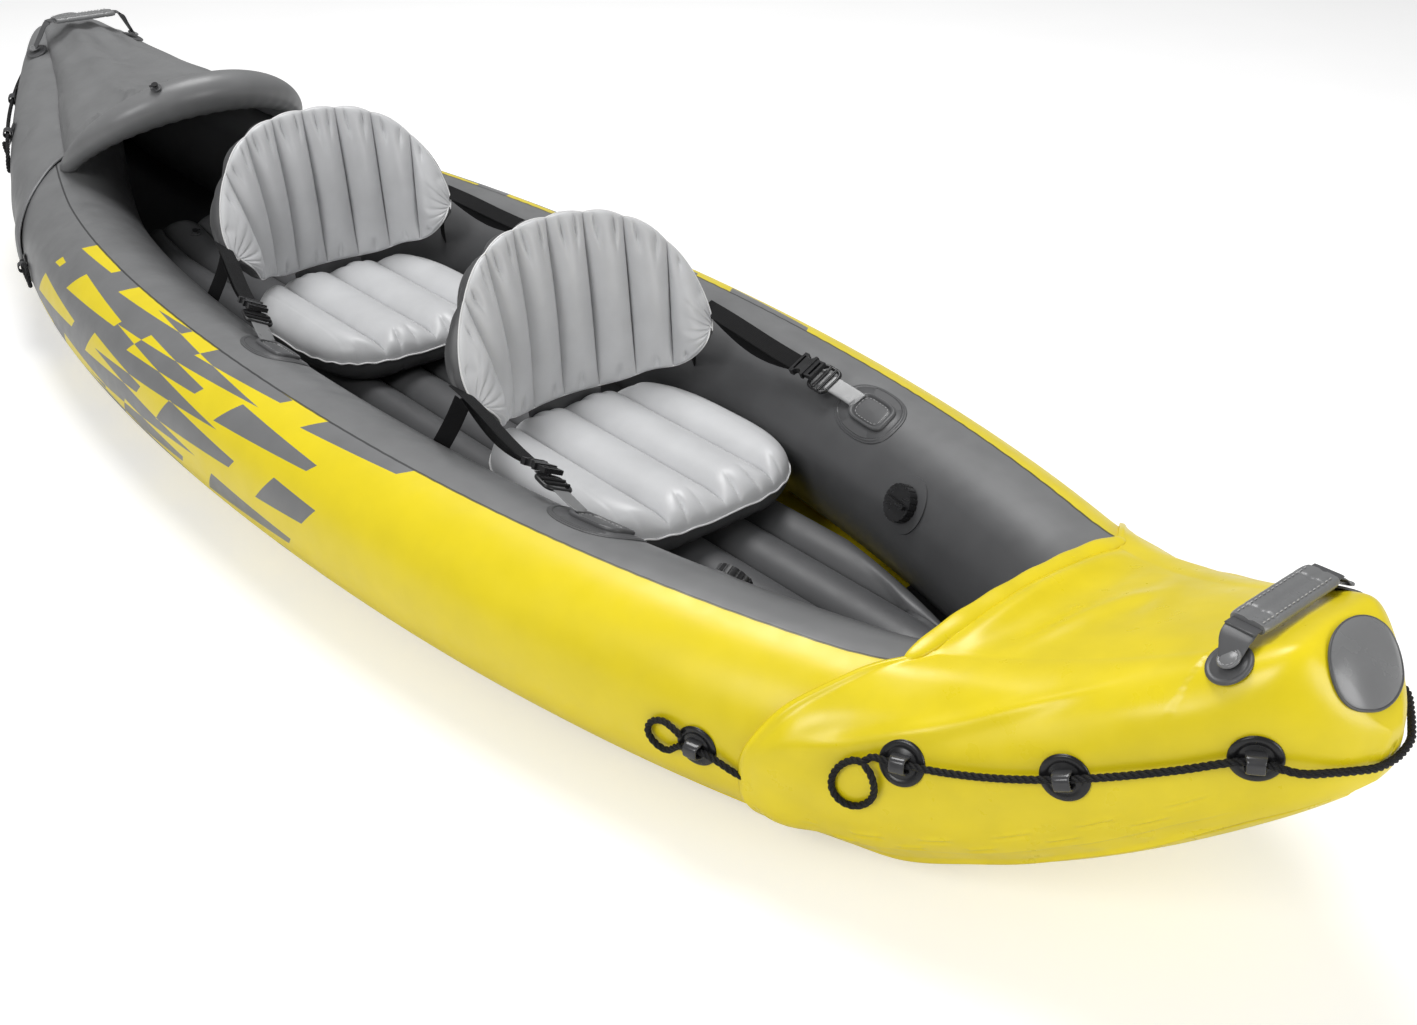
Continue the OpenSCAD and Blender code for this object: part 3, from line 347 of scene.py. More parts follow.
class Patch:
    """One grid of points, or a stack of like grids, with how it closes and which material it takes."""

    def __init__(self, points, wrap=False, caps="", uv=None, slot=0, inside=None):
        points = np.asarray(points, float)
        self.points = points if points.ndim == 4 else points[None]
        self.wrap = wrap
        self.caps = caps
        self.slot = slot
        first = self.points[0]
        self.uv = metre_map(first, wrap) if uv is None else uv
        self.inside = first.reshape(-1, 3).mean(axis=0) if inside is None else np.asarray(inside, float)

    def faces(self):
        """Faces of one grid and their map points, turned to look away from the inside point."""
        rows, cols = self.points.shape[1:3]
        flat = self.points[0].reshape(-1, 3)
        quad = quads(rows, cols, self.wrap)
        corner = flat[quad]
        normal = np.cross(corner[:, 2] - corner[:, 0], corner[:, 3] - corner[:, 1])
        away = corner.mean(axis=1) - self.inside
        wide = quads(rows, self.uv.shape[1], False)
        maps = self.uv.reshape(-1, 2)[wide]
        first = list(range(cols))
        last = list(range((rows - 1) * cols, rows * cols))
        ends = []
        if self.caps == "round":
            ends = [first[::-1], last]
        if self.caps == "strip":
            for ring, turn in ((first, -1), (last, 1)):
                pairs = zip(ring[: cols // 2 - 1], ring[1 : cols // 2], ring[::-1][1:], ring[::-1])
                ends += [list(p)[::turn] for p in pairs]
        faces = quad.tolist()
        maps = maps.tolist()
        for end in ends:
            faces.append(end)
            maps.append(self.uv[:, :cols].reshape(-1, 2)[end].tolist())
        if (normal * away).sum() > 0:
            return faces, maps
        return [f[::-1] for f in faces], [m[::-1] for m in maps]


def closed(points, **more):
    """Grid that closes round on itself, with a face on each end."""
    return Patch(points, wrap=True, caps="round", **more)


def piece(name, patches, looks, crease=50.0):
    """Mesh object in metres made of patches with finishes, sharp where faces meet beyond the crease angle."""
    points = []
    faces = []
    maps = []
    slots = []
    start = 0
    for patch in patches:
        shape, shape_maps = patch.faces()
        for grid in patch.points:
            points.append(grid.reshape(-1, 3))
            faces += [[i + start for i in f] for f in shape]
            maps += shape_maps
            slots += [patch.slot] * len(shape)
            start += grid.shape[0] * grid.shape[1]
    mesh = bpy.data.meshes.new(name)
    mesh.from_pydata((np.concatenate(points) * MM).tolist(), [], faces)
    layer = mesh.uv_layers.new(name="Cloth")
    layer.data.foreach_set("uv", [c for m in maps for uv in m for c in uv])
    mesh.polygons.foreach_set("material_index", slots)
    for look in looks:
        mesh.materials.append(finishes()[look] if isinstance(look, str) else look)
    mesh.update()
    mesh.shade_smooth()
    mesh.set_sharp_from_angle(angle=math.radians(crease))
    made = bpy.data.objects.new(name, mesh)
    bpy.context.scene.collection.objects.link(made)
    return made


def finish_piece(made, body, nodes=()):
    """Lets a piece ride on its body and hides the nodes that it stands for."""
    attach(made, body)
    if nodes:
        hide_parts(*nodes)
    return made


def thicken(made, depth, inner=0):
    """Gives a sheet its thickness on the inner side, which can have a material of its own."""
    wall = made.modifiers.new("Thickness", "SOLIDIFY")
    wall.thickness = depth * MM
    wall.offset = -1.0
    wall.material_offset = inner


def resample(path, count):
    """Even points along a smooth curve: a cubic through four neighbours of the given points at a time."""
    p = np.asarray(path, float)
    p = np.concatenate([2 * p[:1] - p[1:2], p, 2 * p[-1:] - p[-2:-1]])
    t = np.linspace(0, 1, 12, endpoint=False)[None, :, None]
    a, b, c, d = p[:-3, None], p[1:-2, None], p[2:-1, None], p[3:, None]
    q = 0.5 * (2 * b + (c - a) * t + (2 * a - 5 * b + 4 * c - d) * t**2 + (3 * b - a - 3 * c + d) * t**3)
    q = np.concatenate([q.reshape(-1, 3), p[-2:-1]])
    s = walked(q)
    even = np.linspace(0, s[-1], count)
    return read_at(even, s, q)


def headings(path):
    """Directions along a path of points."""
    return unit(np.gradient(path, axis=0))


def carried_frame(path, up):
    """Side and upright vectors across a path, the upright kept as near to up as the path allows."""
    t = headings(path)
    side = unit(np.cross(np.broadcast_to(up, t.shape), t))
    return side, np.cross(t, side)


def tube(path, radius, sides=12, up=(0.0, 0.0, 1.0)):
    """Round profile carried along a path; the radius may change from point to point."""
    side, high = carried_frame(path, up)
    a = turns(sides)[None, :, None]
    r = np.broadcast_to(radius, path.shape[:1])[:, None, None]
    return path[:, None] + r * (np.cos(a) * side[:, None] + np.sin(a) * high[:, None])


def ribbon(path, normals, widths, thick):
    """Flat profile with rounded edges carried along a path, its broad face towards the normals."""
    t = headings(path)
    side = unit(np.cross(normals, t))
    high = np.cross(t, side)
    a = turns(28)
    across = blunt(np.cos(a), 0.35)[None, :, None]
    up = blunt(np.sin(a), 0.6)[None, :, None]
    w = np.broadcast_to(widths, path.shape[:1])[:, None, None] / 2
    return path[:, None] + w * across * side[:, None] + thick / 2 * up * high[:, None]


def placed(local, origin, normal, guide):
    """Moves local points to a surface point, z along the normal and x as near as it goes to the guide."""
    z = unit(np.asarray(normal, float))
    guide = np.asarray(guide, float)
    x = unit(guide - z * np.dot(guide, z))
    y = np.cross(z, x)
    return origin + local[..., :1] * x + local[..., 1:2] * y + local[..., 2:] * z


def lathe(profile, sides=48):
    """Profile of radius and height pairs turned about z."""
    r, z = np.asarray(profile, float).T
    a = turns(sides)
    return xyz(r[:, None] * np.cos(a), r[:, None] * np.sin(a), z[:, None])


def stitches(path, normals, length, gap, radius):
    """Row of thread stitches: short capsules along a path, each rising a little from the cloth."""
    s = walked(path)
    starts = np.arange(0.0, s[-1] - length, length + gap)
    t = np.linspace(0, 1, 5)
    at = starts[:, None] + t * length
    line = read_at(at, s, path)
    up = read_at(at, s, normals)
    along = unit(line[:, -1:] - line[:, :1])
    side = unit(np.cross(up, along))
    a = turns(6)
    swell = radius * np.sqrt(np.maximum(0.08, 1 - (2 * t - 1) ** 2))
    ring = np.cos(a)[:, None] * side[:, :, None] + np.sin(a)[:, None] * up[:, :, None]
    return line[:, :, None] + swell[None, :, None, None] * ring


# Materials

NOISE_RANGE = (0.3, 0.7)


class Paint:
    """Node tree of one finish, with short calls for the nodes that the finishes share."""

    def __init__(self, name):
        self.material = bpy.data.materials.new(name)
        self.material.use_nodes = True
        self.tree = self.material.node_tree
        self.shader = self.tree.nodes["Principled BSDF"]
        self.place = self.tree.nodes.new("ShaderNodeTexCoord")

    def put(self, socket, value):
        """Links a socket to an input, or writes a plain value into it."""
        if isinstance(value, bpy.types.NodeSocket):
            self.tree.links.new(value, socket)
        else:
            socket.default_value = value

    def node(self, kind, **inputs):
        """New node with its inputs set by name."""
        made = self.tree.nodes.new(kind)
        for key, value in inputs.items():
            self.put(made.inputs[key.replace("_", " ")], value)
        return made

    def math(self, operation, *values):
        """Math node of one to three values."""
        made = self.tree.nodes.new("ShaderNodeMath")
        made.operation = operation
        for socket, value in zip(made.inputs, values):
            self.put(socket, value)
        return made.outputs[0]

    def split(self, kind):
        """Three numbers of the Object or UV coordinates."""
        return self.node("ShaderNodeSeparateXYZ", Vector=self.place.outputs[kind]).outputs

    def near(self, value, middle, reach):
        """One where a value lies within a reach of a middle, else nought."""
        return self.math("LESS_THAN", self.math("ABSOLUTE", self.math("SUBTRACT", value, middle)), reach)

    def noise(self, scale, detail=2.0):
        """Soft noise, mostly within the noise range, with its scale in waves per metre."""
        source = self.place.outputs["Object"]
        return self.node("ShaderNodeTexNoise", Vector=source, Scale=scale, Detail=detail).outputs["Fac"]

    def blend(self, share, a, b):
        """Colour mix by a share."""
        made = self.tree.nodes.new("ShaderNodeMix")
        made.data_type = "RGBA"
        self.put(made.inputs["Factor"], share)
        self.put(made.inputs["A"], a)
        self.put(made.inputs["B"], b)
        return made.outputs["Result"]

    def spread(self, value, low, high):
        """Noise value stretched over a range."""
        least, most = NOISE_RANGE
        made = self.node("ShaderNodeMapRange", Value=value, From_Min=least, From_Max=most,
                         To_Min=low, To_Max=high)
        return made.outputs["Result"]

    def drift(self, scale, low=0.0, high=1.0, detail=4.0):
        """Value that drifts between two levels with soft noise."""
        return self.spread(self.noise(scale, detail), low, high)

    def bump(self, height, strength, depth, before=None):
        """Bump of a height, its depth in millimetres, on top of an earlier one."""
        made = self.node("ShaderNodeBump", Height=height, Strength=strength, Distance=depth * MM)
        if before:
            self.put(made.inputs["Normal"], before)
        return made.outputs["Normal"]

    def finish(self, colour, roughness, normal, **sockets):
        """Connects the finish to the shader and writes its plain sockets."""
        self.put(self.shader.inputs["Base Color"], colour)
        self.put(self.shader.inputs["Roughness"], roughness)
        if normal:
            self.put(self.shader.inputs["Normal"], normal)
        for key, value in sockets.items():
            self.shader.inputs[key.replace("_", " ")].default_value = value
        return self.material


def shade(colour, factor):
    """Colour of a property, lighter or darker by a factor, as four numbers."""
    return tuple(min(1.0, c * factor) for c in colour[:3]) + (1.0,)


def vinyl_grain(paint, wave, grain=0.25):
    """Bump of coated vinyl: broad slack waves and the fine grain pressed into the film."""
    slack = paint.bump(paint.noise(9.0, 3.0), 0.35, wave)
    return paint.bump(paint.noise(900.0, 3.0), grain, 0.12, slack)


def vinyl(name, colour, rough=(0.34, 0.46), wave=2.0, grain=0.25, coat=0.12):
    """Coated vinyl: colour drifts a little, gloss varies where it was handled, fine grain and slack waves."""
    paint = Paint(name)
    tone = paint.drift(14.0)
    tint = paint.blend(tone, shade(colour, 0.93), shade(colour, 1.05))
    gloss = paint.drift(35.0, *rough)
    return paint.finish(tint, gloss, vinyl_grain(paint, wave, grain), Coat_Weight=coat, Coat_Roughness=0.35)


def printed_hull(look):
    """Hull skin: grey top, darkening to the inner grey over the inner face as painted shade, yellow outer
    side, and a field of slanted tapered bars aft.
    """
    paint = Paint("printed_hull")
    along, down, _ = paint.split("UV")
    slant = paint.math("MULTIPLY_ADD", down, look.bar_slant, along)
    row = paint.math("DIVIDE", down, look.bar_pitch)
    row_at = paint.math("FLOOR", row)
    across = paint.math("ABSOLUTE", paint.math("SUBTRACT", paint.math("FRACT", row), 0.5))
    wedge = paint.math("MULTIPLY_ADD", across, look.wedge_length * 2, look.wedge_start)
    fore = paint.math("GREATER_THAN", slant, wedge)
    stagger = paint.math("MULTIPLY_ADD", row_at, 0.37, paint.math("DIVIDE", slant, look.bar_length))
    share = paint.math("FRACT", stagger)
    taper = paint.math("MULTIPLY_ADD", share, -0.34, 0.36)
    inside = paint.math("LESS_THAN", across, taper)
    begun = paint.math("LESS_THAN", share, 0.72)
    reach = paint.near(slant, look.bar_middle, look.bar_reach)
    bars = paint.math("MULTIPLY", paint.math("MULTIPLY", inside, begun), reach)
    yellow = paint.math("ABSOLUTE", paint.math("SUBTRACT", fore, bars))
    outer = paint.math("GREATER_THAN", down, look.seam_drop)
    side = paint.math("MULTIPLY", yellow, outer)
    tone = paint.drift(14.0)
    grey = paint.blend(tone, shade(look.grey, 0.9), shade(look.grey, 1.06))
    painted_shade_grey = paint.blend(tone, shade(look.inner, 0.9), shade(look.inner, 1.08))
    gold = paint.blend(tone, shade(look.yellow, 0.95), shade(look.yellow, 1.03))
    # Painted shade: past the crown the grey vinyl darkens to the inner grey over the chamber's inner face.
    turned = paint.math("MULTIPLY_ADD", down, -14.0, -0.25)
    turned.node.use_clamp = True
    tint = paint.blend(side, paint.blend(turned, grey, painted_shade_grey), gold)
    line = paint.near(down, look.seam_drop, 0.0016)
    tint = paint.blend(paint.math("MULTIPLY", line, 0.8), tint, shade(look.black, 1.0))
    gloss = paint.drift(35.0, 0.32, 0.44)
    film = paint.bump(side, 0.2, 0.15, vinyl_grain(paint, 1.5))
    return paint.finish(tint, gloss, film, Coat_Weight=0.15, Coat_Roughness=0.3)


def seat_cover(name, colour):
    """Soft coated seat film: satin, with a fine woven backing that shows through and faint creases."""
    paint = Paint(name)
    tone = paint.drift(18.0)
    tint = paint.blend(tone, shade(colour, 0.94), shade(colour, 1.03))
    u, v, _ = paint.split("UV")
    weave = paint.math("MULTIPLY", paint.math("SINE", paint.math("MULTIPLY", u, 5200.0)),
                       paint.math("SINE", paint.math("MULTIPLY", v, 5200.0)))
    crease = paint.bump(paint.noise(26.0, 4.0), 0.3, 1.2)
    cloth = paint.bump(weave, 0.12, 0.08, crease)
    gloss = paint.drift(40.0, 0.34, 0.46, detail=3.0)
    return paint.finish(tint, gloss, cloth, Coat_Weight=0.1, Coat_Roughness=0.35)


def webbing(look):
    """Woven strap: ribs across its length, and lighter tops on the weave in patches of noise."""
    paint = Paint("webbing")
    u, v, _ = paint.split("UV")
    ribs = paint.math("SINE", paint.math("MULTIPLY", u, 3600.0))
    yarn = paint.math("SINE", paint.math("MULTIPLY", v, 2600.0))
    weave = paint.math("MULTIPLY_ADD", ribs, 0.6, paint.math("MULTIPLY", ribs, yarn))
    # Colour follows the weave's height: lighter on the rib tops and darker in the hollows, in patches of
    # noise.
    lighter_rib_tops = paint.math("MULTIPLY", paint.spread(weave, 0.0, 0.6), paint.noise(60.0, 3.0))
    tint = paint.blend(lighter_rib_tops, shade(look.black, 0.7), shade(look.black, 2.0))
    return paint.finish(tint, 0.75, paint.bump(weave, 0.7, 0.5), Specular_IOR_Level=0.25)


def twisted_cord(look):
    """Braided cord: fine yarns that run round each strand."""
    paint = Paint("twisted_cord")
    u, v, _ = paint.split("UV")
    yarn = paint.math("SINE", paint.math("MULTIPLY_ADD", u, 2600.0, paint.math("MULTIPLY", v, 3200.0)))
    tint = paint.blend(paint.spread(yarn, 0.0, 0.5), shade(look.black, 0.7), shade(look.black, 1.8))
    return paint.finish(tint, 0.6, paint.bump(yarn, 0.6, 0.3), Specular_IOR_Level=0.3)


def moulded(name, colour, rough=(0.24, 0.36), grain=0.3):
    """Moulded plastic: fine spark-eroded grain and gloss that varies with handling."""
    paint = Paint(name)
    tone = paint.drift(60.0, detail=3.0)
    tint = paint.blend(tone, shade(colour, 0.85), shade(colour, 1.15))
    gloss = paint.drift(90.0, *rough, detail=3.0)
    return paint.finish(tint, gloss, paint.bump(paint.noise(2500.0, 2.0), grain, 0.05))


def clear_film(name, colour):
    """Milky soft plastic of the small valves: partly clear, smooth, with faint flow marks."""
    paint = Paint(name)
    tone = paint.drift(200.0, detail=3.0)
    tint = paint.blend(tone, shade(colour, 0.9), shade(colour, 1.05))
    gloss = paint.drift(400.0, 0.14, 0.24, detail=2.0)
    marks = paint.bump(paint.noise(700.0, 2.0), 0.2, 0.05)
    return paint.finish(tint, gloss, marks, Transmission_Weight=0.35, IOR=1.45)


def crumpled_vinyl(name, colour):
    """Loose vinyl that was packed away: like the rest, with a net of soft creases pressed into it."""
    paint = Paint(name)
    tone = paint.drift(14.0)
    tint = paint.blend(tone, shade(colour, 0.93), shade(colour, 1.08))
    soft = paint.bump(paint.noise(11.0, 2.0), 0.6, 14.0)
    ridge = paint.math("ABSOLUTE", paint.math("SUBTRACT", paint.noise(7.0, 2.0), 0.5))
    creased = paint.bump(ridge, 0.7, 18.0, soft)
    grain = paint.bump(paint.noise(900.0, 3.0), 0.25, 0.12, creased)
    gloss = paint.drift(35.0, 0.36, 0.46)
    return paint.finish(tint, gloss, grain, Coat_Weight=0.1, Coat_Roughness=0.35)


def inner_sheet_painted_shade(look):
    """Inner face of the bottom sheet: yellow in front of the front seat, and painted shade in a grey darker
    than the inner grey elsewhere, where the inside of the boat is in shadow.
    """
    paint = Paint("inner_sheet_painted_shade")
    along, _, _ = paint.split("Object")
    tone = paint.drift(14.0, 0.9, 1.0)
    # Painted shade: the yellow sheet keeps its colour only in this strip along the boat and is painted dark
    # grey everywhere else.
    part = paint.near(along, 0.64, 0.18)
    inner = paint.blend(part, shade(look.inner, 0.7), shade(look.yellow, 1.0))
    tint = paint.blend(tone, (0.0, 0.0, 0.0, 1.0), inner)
    return paint.finish(tint, paint.drift(35.0, 0.36, 0.48), vinyl_grain(paint, 1.6))


FINISHES = {}


def finishes():
    """Every finish of the boat, made once from the colour settings."""
    if FINISHES:
        return FINISHES
    look = bpy.context.scene.kayak_look
    FINISHES.update({
        "hull": printed_hull(look),
        "yellow": vinyl("yellow_vinyl", look.yellow, (0.26, 0.38), 2.2),
        "inside": inner_sheet_painted_shade(look),
        "grey": vinyl("grey_vinyl", look.grey, (0.3, 0.42), 2.0),
        "loose": crumpled_vinyl("loose_vinyl", look.grey),
        # Painted light: the lining takes the pale seat colour to lift the dark mouth under the stern cover,
        # where little lamp light reaches.
        "lining": vinyl("lining_vinyl", look.seat, (0.45, 0.55), 1.0),
        "cap": vinyl("cap_vinyl", look.grey, (0.2, 0.3), 2.6, 0.15, 0.3),
        "grip": vinyl("grip_vinyl", look.grey, (0.26, 0.36), 1.2, 0.3, 0.2),
        "floor": vinyl("floor_vinyl", look.inner, (0.4, 0.52), 1.2, 0.35, 0.05),
        "patch": vinyl("patch_vinyl", look.inner, (0.36, 0.48), 0.5, 0.4, 0.08),
        "seat": seat_cover("seat_film", look.seat),
        "under": seat_cover("under_film", shade(look.inner, 0.8)),
        "piping": vinyl("piping_vinyl", look.piping, (0.3, 0.4), 0.3),
        "web": webbing(look),
        "cord": twisted_cord(look),
        "black": moulded("black_plastic", look.black),
        "gloss": moulded("gloss_bridge", look.bridge, (0.14, 0.24), 0.1),
        "clear": clear_film("clear_valve", look.clear),
        "thread": vinyl("thread", look.thread, (0.6, 0.7), 0.1),
    })
    return FINISHES


# Settings


def colour_setting(name, words, value):
    """Colour setting with its name, description and linear default."""
    return FloatVectorProperty(name=name, description=words, subtype="COLOR", size=3,
                               min=0.0, max=1.0, default=value)


def length_setting(name, words, value):
    """Length setting in metres."""
    return FloatProperty(name=name, description=words, default=value, unit="LENGTH", precision=4)


def size_setting(name, words, value):
    """Plain number setting."""
    return FloatProperty(name=name, description=words, default=value)


class KayakLook(bpy.types.PropertyGroup):
    """Colours of the boat and the layout of its printed bars."""

    yellow: colour_setting("Yellow", "Covers and outer sides", (0.9, 0.72, 0.008))
    grey: colour_setting("Grey", "Top of the chambers, stern cover and arch", (0.195, 0.197, 0.2))
    # Inner grey: own colour of the floor and patches, and painted shade on the chambers' inner faces and on
    # the bottom sheet's inner face.
    inner: colour_setting("Inner grey", "Floor, inner sides and patches", (0.088, 0.089, 0.092))
    seat: colour_setting("Seat", "Upper film of the seats", (0.6, 0.605, 0.615))
    piping: colour_setting("Piping", "Welded edge of the seats", (0.8, 0.8, 0.8))
    black: colour_setting("Black", "Webbing, cords and moulded plastic", (0.012, 0.012, 0.013))
    bridge: colour_setting("Bridge", "Polished bridges of the rope fittings", (0.05, 0.05, 0.053))
    clear: colour_setting("Clear", "Small valves of the seats", (0.75, 0.78, 0.8))
    thread: colour_setting("Thread", "Stitching", (0.45, 0.45, 0.45))
    seam_drop: length_setting("Seam drop", "Way from the chamber's crown down to the colour seam", 0.02)
    bar_pitch: length_setting("Bar pitch", "Height of one row of printed bars", 0.058)
    bar_length: length_setting("Bar length", "Distance from one bar to the next in a row", 0.31)
    bar_middle: length_setting("Bar middle", "Middle of the printed field along the boat", -0.02)
    bar_reach: length_setting("Bar reach", "Half-length of the printed field", 0.52)
    wedge_start: length_setting("Wedge start", "Aft points of the yellow field", -0.2)
    wedge_length: length_setting("Wedge length", "Length of the points between yellow and grey", 0.42)
    bar_slant: size_setting("Bar slant", "Lean of the bars along the boat", 0.9)


class KayakDetail(bpy.types.PropertyGroup):
    """Sizes of seams, folds, stitches and cords, in millimetres unless stated."""

    seam_lift: size_setting("Seam lift", "Height of the welded seams", 0.8)
    fold_depth: size_setting("Fold depth", "Depth of the covers' slack folds", 2.2)
    pucker: size_setting("Pucker", "Depth of the gathers along welded edges", 3.0)
    piping_r: size_setting("Piping", "Radius of the seats' welded edge", 1.3)
    strand_pitch: size_setting("Strand pitch", "Length of one turn of the cord", 21.0)
    stitch_len: size_setting("Stitch", "Length of one stitch", 4.5)
    rings: IntProperty(name="Rings", description="Grid rows along the hull", default=280, min=60, max=600)


def detail():
    """Detail settings of the scene."""
    return bpy.context.scene.kayak_detail


# Stage

CAMERA_AT = (1.9644, -1.1243, 1.1374)
CAMERA_TARGET = (0.648, 0.0, 0.1357)
CAMERA_LENS = 38.53
SENSOR_W = 36.0
LAMP_TARGET = (0.0, 0.0, 0.15)
WORLD_LEVEL = (0.3, 1.0)
FLOOR_HALF = 14.0
FLOOR_Z = -0.6
FLOOR_GLOW = 0.42
LAMPS = (
    ("key_light", (1.3, -4.0, 3.3), 2.2, 80.0),
    ("fill_light", (4.6, 0.8, 1.4), 2.2, 52.0),
    ("top_light", (-0.9, 0.6, 4.4), 2.4, 126.0),
)


def aim(thing, target):
    """Points an object's view or light axis at a target."""
    way = Vector(target) - thing.location
    thing.rotation_euler = way.to_track_quat("-Z", "Y").to_euler()


def stage_camera(scene):
    """Camera at the photograph's place, with its lens on the usual sensor."""
    data = bpy.data.cameras.new("camera")
    data.lens = CAMERA_LENS
    data.sensor_width = SENSOR_W
    camera = bpy.data.objects.new("camera", data)
    scene.collection.objects.link(camera)
    camera.location = CAMERA_AT
    aim(camera, CAMERA_TARGET)
    scene.camera = camera


def stage_lamps(scene):
    """Large soft lamps round the boat."""
    for name, place, size, power in LAMPS:
        data = bpy.data.lights.new(name, "AREA")
        data.shape = "DISK"
        data.size = size
        data.energy = power
        lamp = bpy.data.objects.new(name, data)
        scene.collection.objects.link(lamp)
        lamp.location = place
        aim(lamp, LAMP_TARGET)


def stage_world(scene):
    """World that lights softly from above and looks white to the camera."""
    world = bpy.data.worlds.new("studio")
    world.use_nodes = True
    scene.world = world
    tree = world.node_tree
    back = tree.nodes["Background"]
    back.inputs["Color"].default_value = (1.0, 1.0, 1.0, 1.0)
    path = tree.nodes.new("ShaderNodeLightPath")
    seen = tree.nodes.new("ShaderNodeMath")
    seen.operation = "MAXIMUM"
    tree.links.new(path.outputs["Is Camera Ray"], seen.inputs[0])
    tree.links.new(path.outputs["Is Transmission Ray"], seen.inputs[1])
    level = tree.nodes.new("ShaderNodeMapRange")
    level.inputs["To Min"].default_value, level.inputs["To Max"].default_value = WORLD_LEVEL
    tree.links.new(seen.outputs[0], level.inputs["Value"])
    tree.links.new(level.outputs["Result"], back.inputs["Strength"])


def stage_floor():
    """Wide pale floor just under the belly, lifted to white for the camera and still carrying the shadow."""
    paint = Paint("pale_floor")
    tone = paint.drift(3.0, detail=3.0)
    tint = paint.blend(tone, (0.8, 0.8, 0.8, 1.0), (0.82, 0.82, 0.82, 1.0))
    path = paint.node("ShaderNodeLightPath").outputs
    seen = paint.math("MAXIMUM", path["Is Camera Ray"], path["Is Transmission Ray"])
    paint.shader.inputs["Emission Color"].default_value = (1.0, 1.0, 1.0, 1.0)
    paint.put(paint.shader.inputs["Emission Strength"], paint.math("MULTIPLY", seen, FLOOR_GLOW))
    material = paint.finish(tint, 0.9, paint.bump(paint.noise(300.0), 0.05, 0.1))
    edge = np.array([-FLOOR_HALF, FLOOR_HALF]) / MM
    x, y = np.meshgrid(edge, edge, indexing="ij")
    points = xyz(x, y, FLOOR_Z)
    made = piece("floor", [Patch(points, inside=(0, 0, -500))], [material])


class KAYAK_OT_stage(bpy.types.Operator):
    """Camera, soft lamps, world and floor"""

    bl_idname = "kayak.stage"
    bl_label = "Stage"

    def execute(self, context):
        scene = context.scene
        scene.view_settings.view_transform = "Standard"
        stage_camera(scene)
        stage_lamps(scene)
        stage_world(scene)
        stage_floor()
        return {"FINISHED"}


# Cords

CORD_STEP = 2.2
ROPE_TH = 22.6
ROPE_FALL = 0.076
STRAND_OFF = 0.24 * ROPE_D
STRAND_R = 0.26 * ROPE_D
LOOP_AT = (-36.0, -29.0)
LOOP_R = (22.0, 24.0)
TIE_LIFT = 0.75
TIE_SINK = 1.6
TIE_SHAPE = np.array([[-13, 9], [-24, 15], [-38, 17], [-51, 11], [-55, -2], [-47, -14], [-32, -17], [-14, -3],
                      [10, 0], [28, -3], [44, -10], [58, -13]], float)


def rope_angle(d):
    """Angle on the chamber at which the grab line runs, falling towards the tip."""
    return ROPE_TH - ROPE_FALL * (d - (HALF_LEN - FITTING_LENS[0]))


def line_at(end, d, side):
    """Point of the grab line over the cover at the distance d from amidships."""
    d = np.asarray(d, float)
    return skin(end * d, rope_angle(d), LINE_C, side)


def grab_line_path(end):
    """Line through the three fittings of one side, round the tip and back through those of the other."""
    f = HALF_LEN - np.array(FITTING_LENS)
    at_fittings = (f[:, None] + [-10, 10]).ravel()
    gaps = [mixed(f[k], f[k + 1], s) for k in (0, 1) for s in (0.35, 0.65)]
    run = line_at(end, np.sort(np.concatenate([[f[0] - 24], at_fittings, gaps])), 1)
    lift = np.array([LINE_C + 2, ROPE_REST + 2, ROPE_REST, ROPE_REST])
    at = HALF_LEN - np.array([FITTING_LENS[2] - FITTING_R - 2, 24.0, 12.0, 4.0])
    t = unit(np.stack([np.full(4, 2.0), half_w(end * (at + 1)) - half_w(end * (at - 1))], axis=-1))
    tip_z = cham_z(np.float64(end * HALF_LEN))
    z = mixed(run[-1, 2], tip_z, np.arange(1, 5) / 5)
    nose = xyz(end * (at - lift * t[:, 1]), half_w(end * at) + lift * t[:, 0], z)
    tip = np.array([[end * (HALF_LEN + 3 + CONTACT + ROPE_D / 2), ROPE_D, tip_z]])
    half = np.concatenate([run, nose, tip])
    return np.concatenate([half, half[::-1] * MIRROR])


def end_loop(end):
    """Tail of a grab line: one round loop on the cover below the last fitting, back over its own start."""
    turn = np.radians(np.linspace(78, 428, 16))
    along = HALF_LEN - FITTING_LENS[0] + LOOP_AT[0] + LOOP_R[0] * np.cos(turn)
    drop = LOOP_AT[1] + LOOP_R[1] * np.sin(turn)
    k = np.arange(16)
    lift = ROPE_REST + 4.0 * np.exp(-k / 2.0) + 9.0 * smooth((k - 10.0) / 4.0)
    th = rope_angle(HALF_LEN - FITTING_LENS[0] - 24.0) + np.degrees(drop / TUBE_R)
    return skin(end * along, th, lift, -1)


def outward(path):
    """Direction away from the hull along a line: sideways, and forward where it goes round a tip."""
    nose = np.maximum(0.0, np.abs(path[:, 0]) - (HALF_LEN - 150.0)) * np.sign(path[:, 0])
    return unit(xyz(nose, path[:, 1] + 1e-3, 0.0))


def twisted(path, up):
    """Three strands that wind round a path at the strand pitch, each a thin tube with tapered ends."""
    side, high = carried_frame(path, up)
    s = walked(path)
    taper = np.sqrt(np.clip(np.minimum(s, s[-1] - s) / 4 + 0.25, 0, 1))
    patches = []
    for strand in range(3):
        a = (2 * np.pi * (s / detail().strand_pitch + strand / 3))[:, None]
        centre = path + STRAND_OFF * taper[:, None] * (np.cos(a) * side + np.sin(a) * high)
        patches.append(closed(tube(centre, STRAND_R * taper, 9, up)))
    return patches


def make_cord(name, path, node=None):
    """Twisted cord along a path."""
    path = resample(path, int(walked(path)[-1] / CORD_STEP))
    made = piece(name, twisted(path, outward(path)), ["cord"], 70)
    finish_piece(made, "hull", [node] if node else [])
    return made


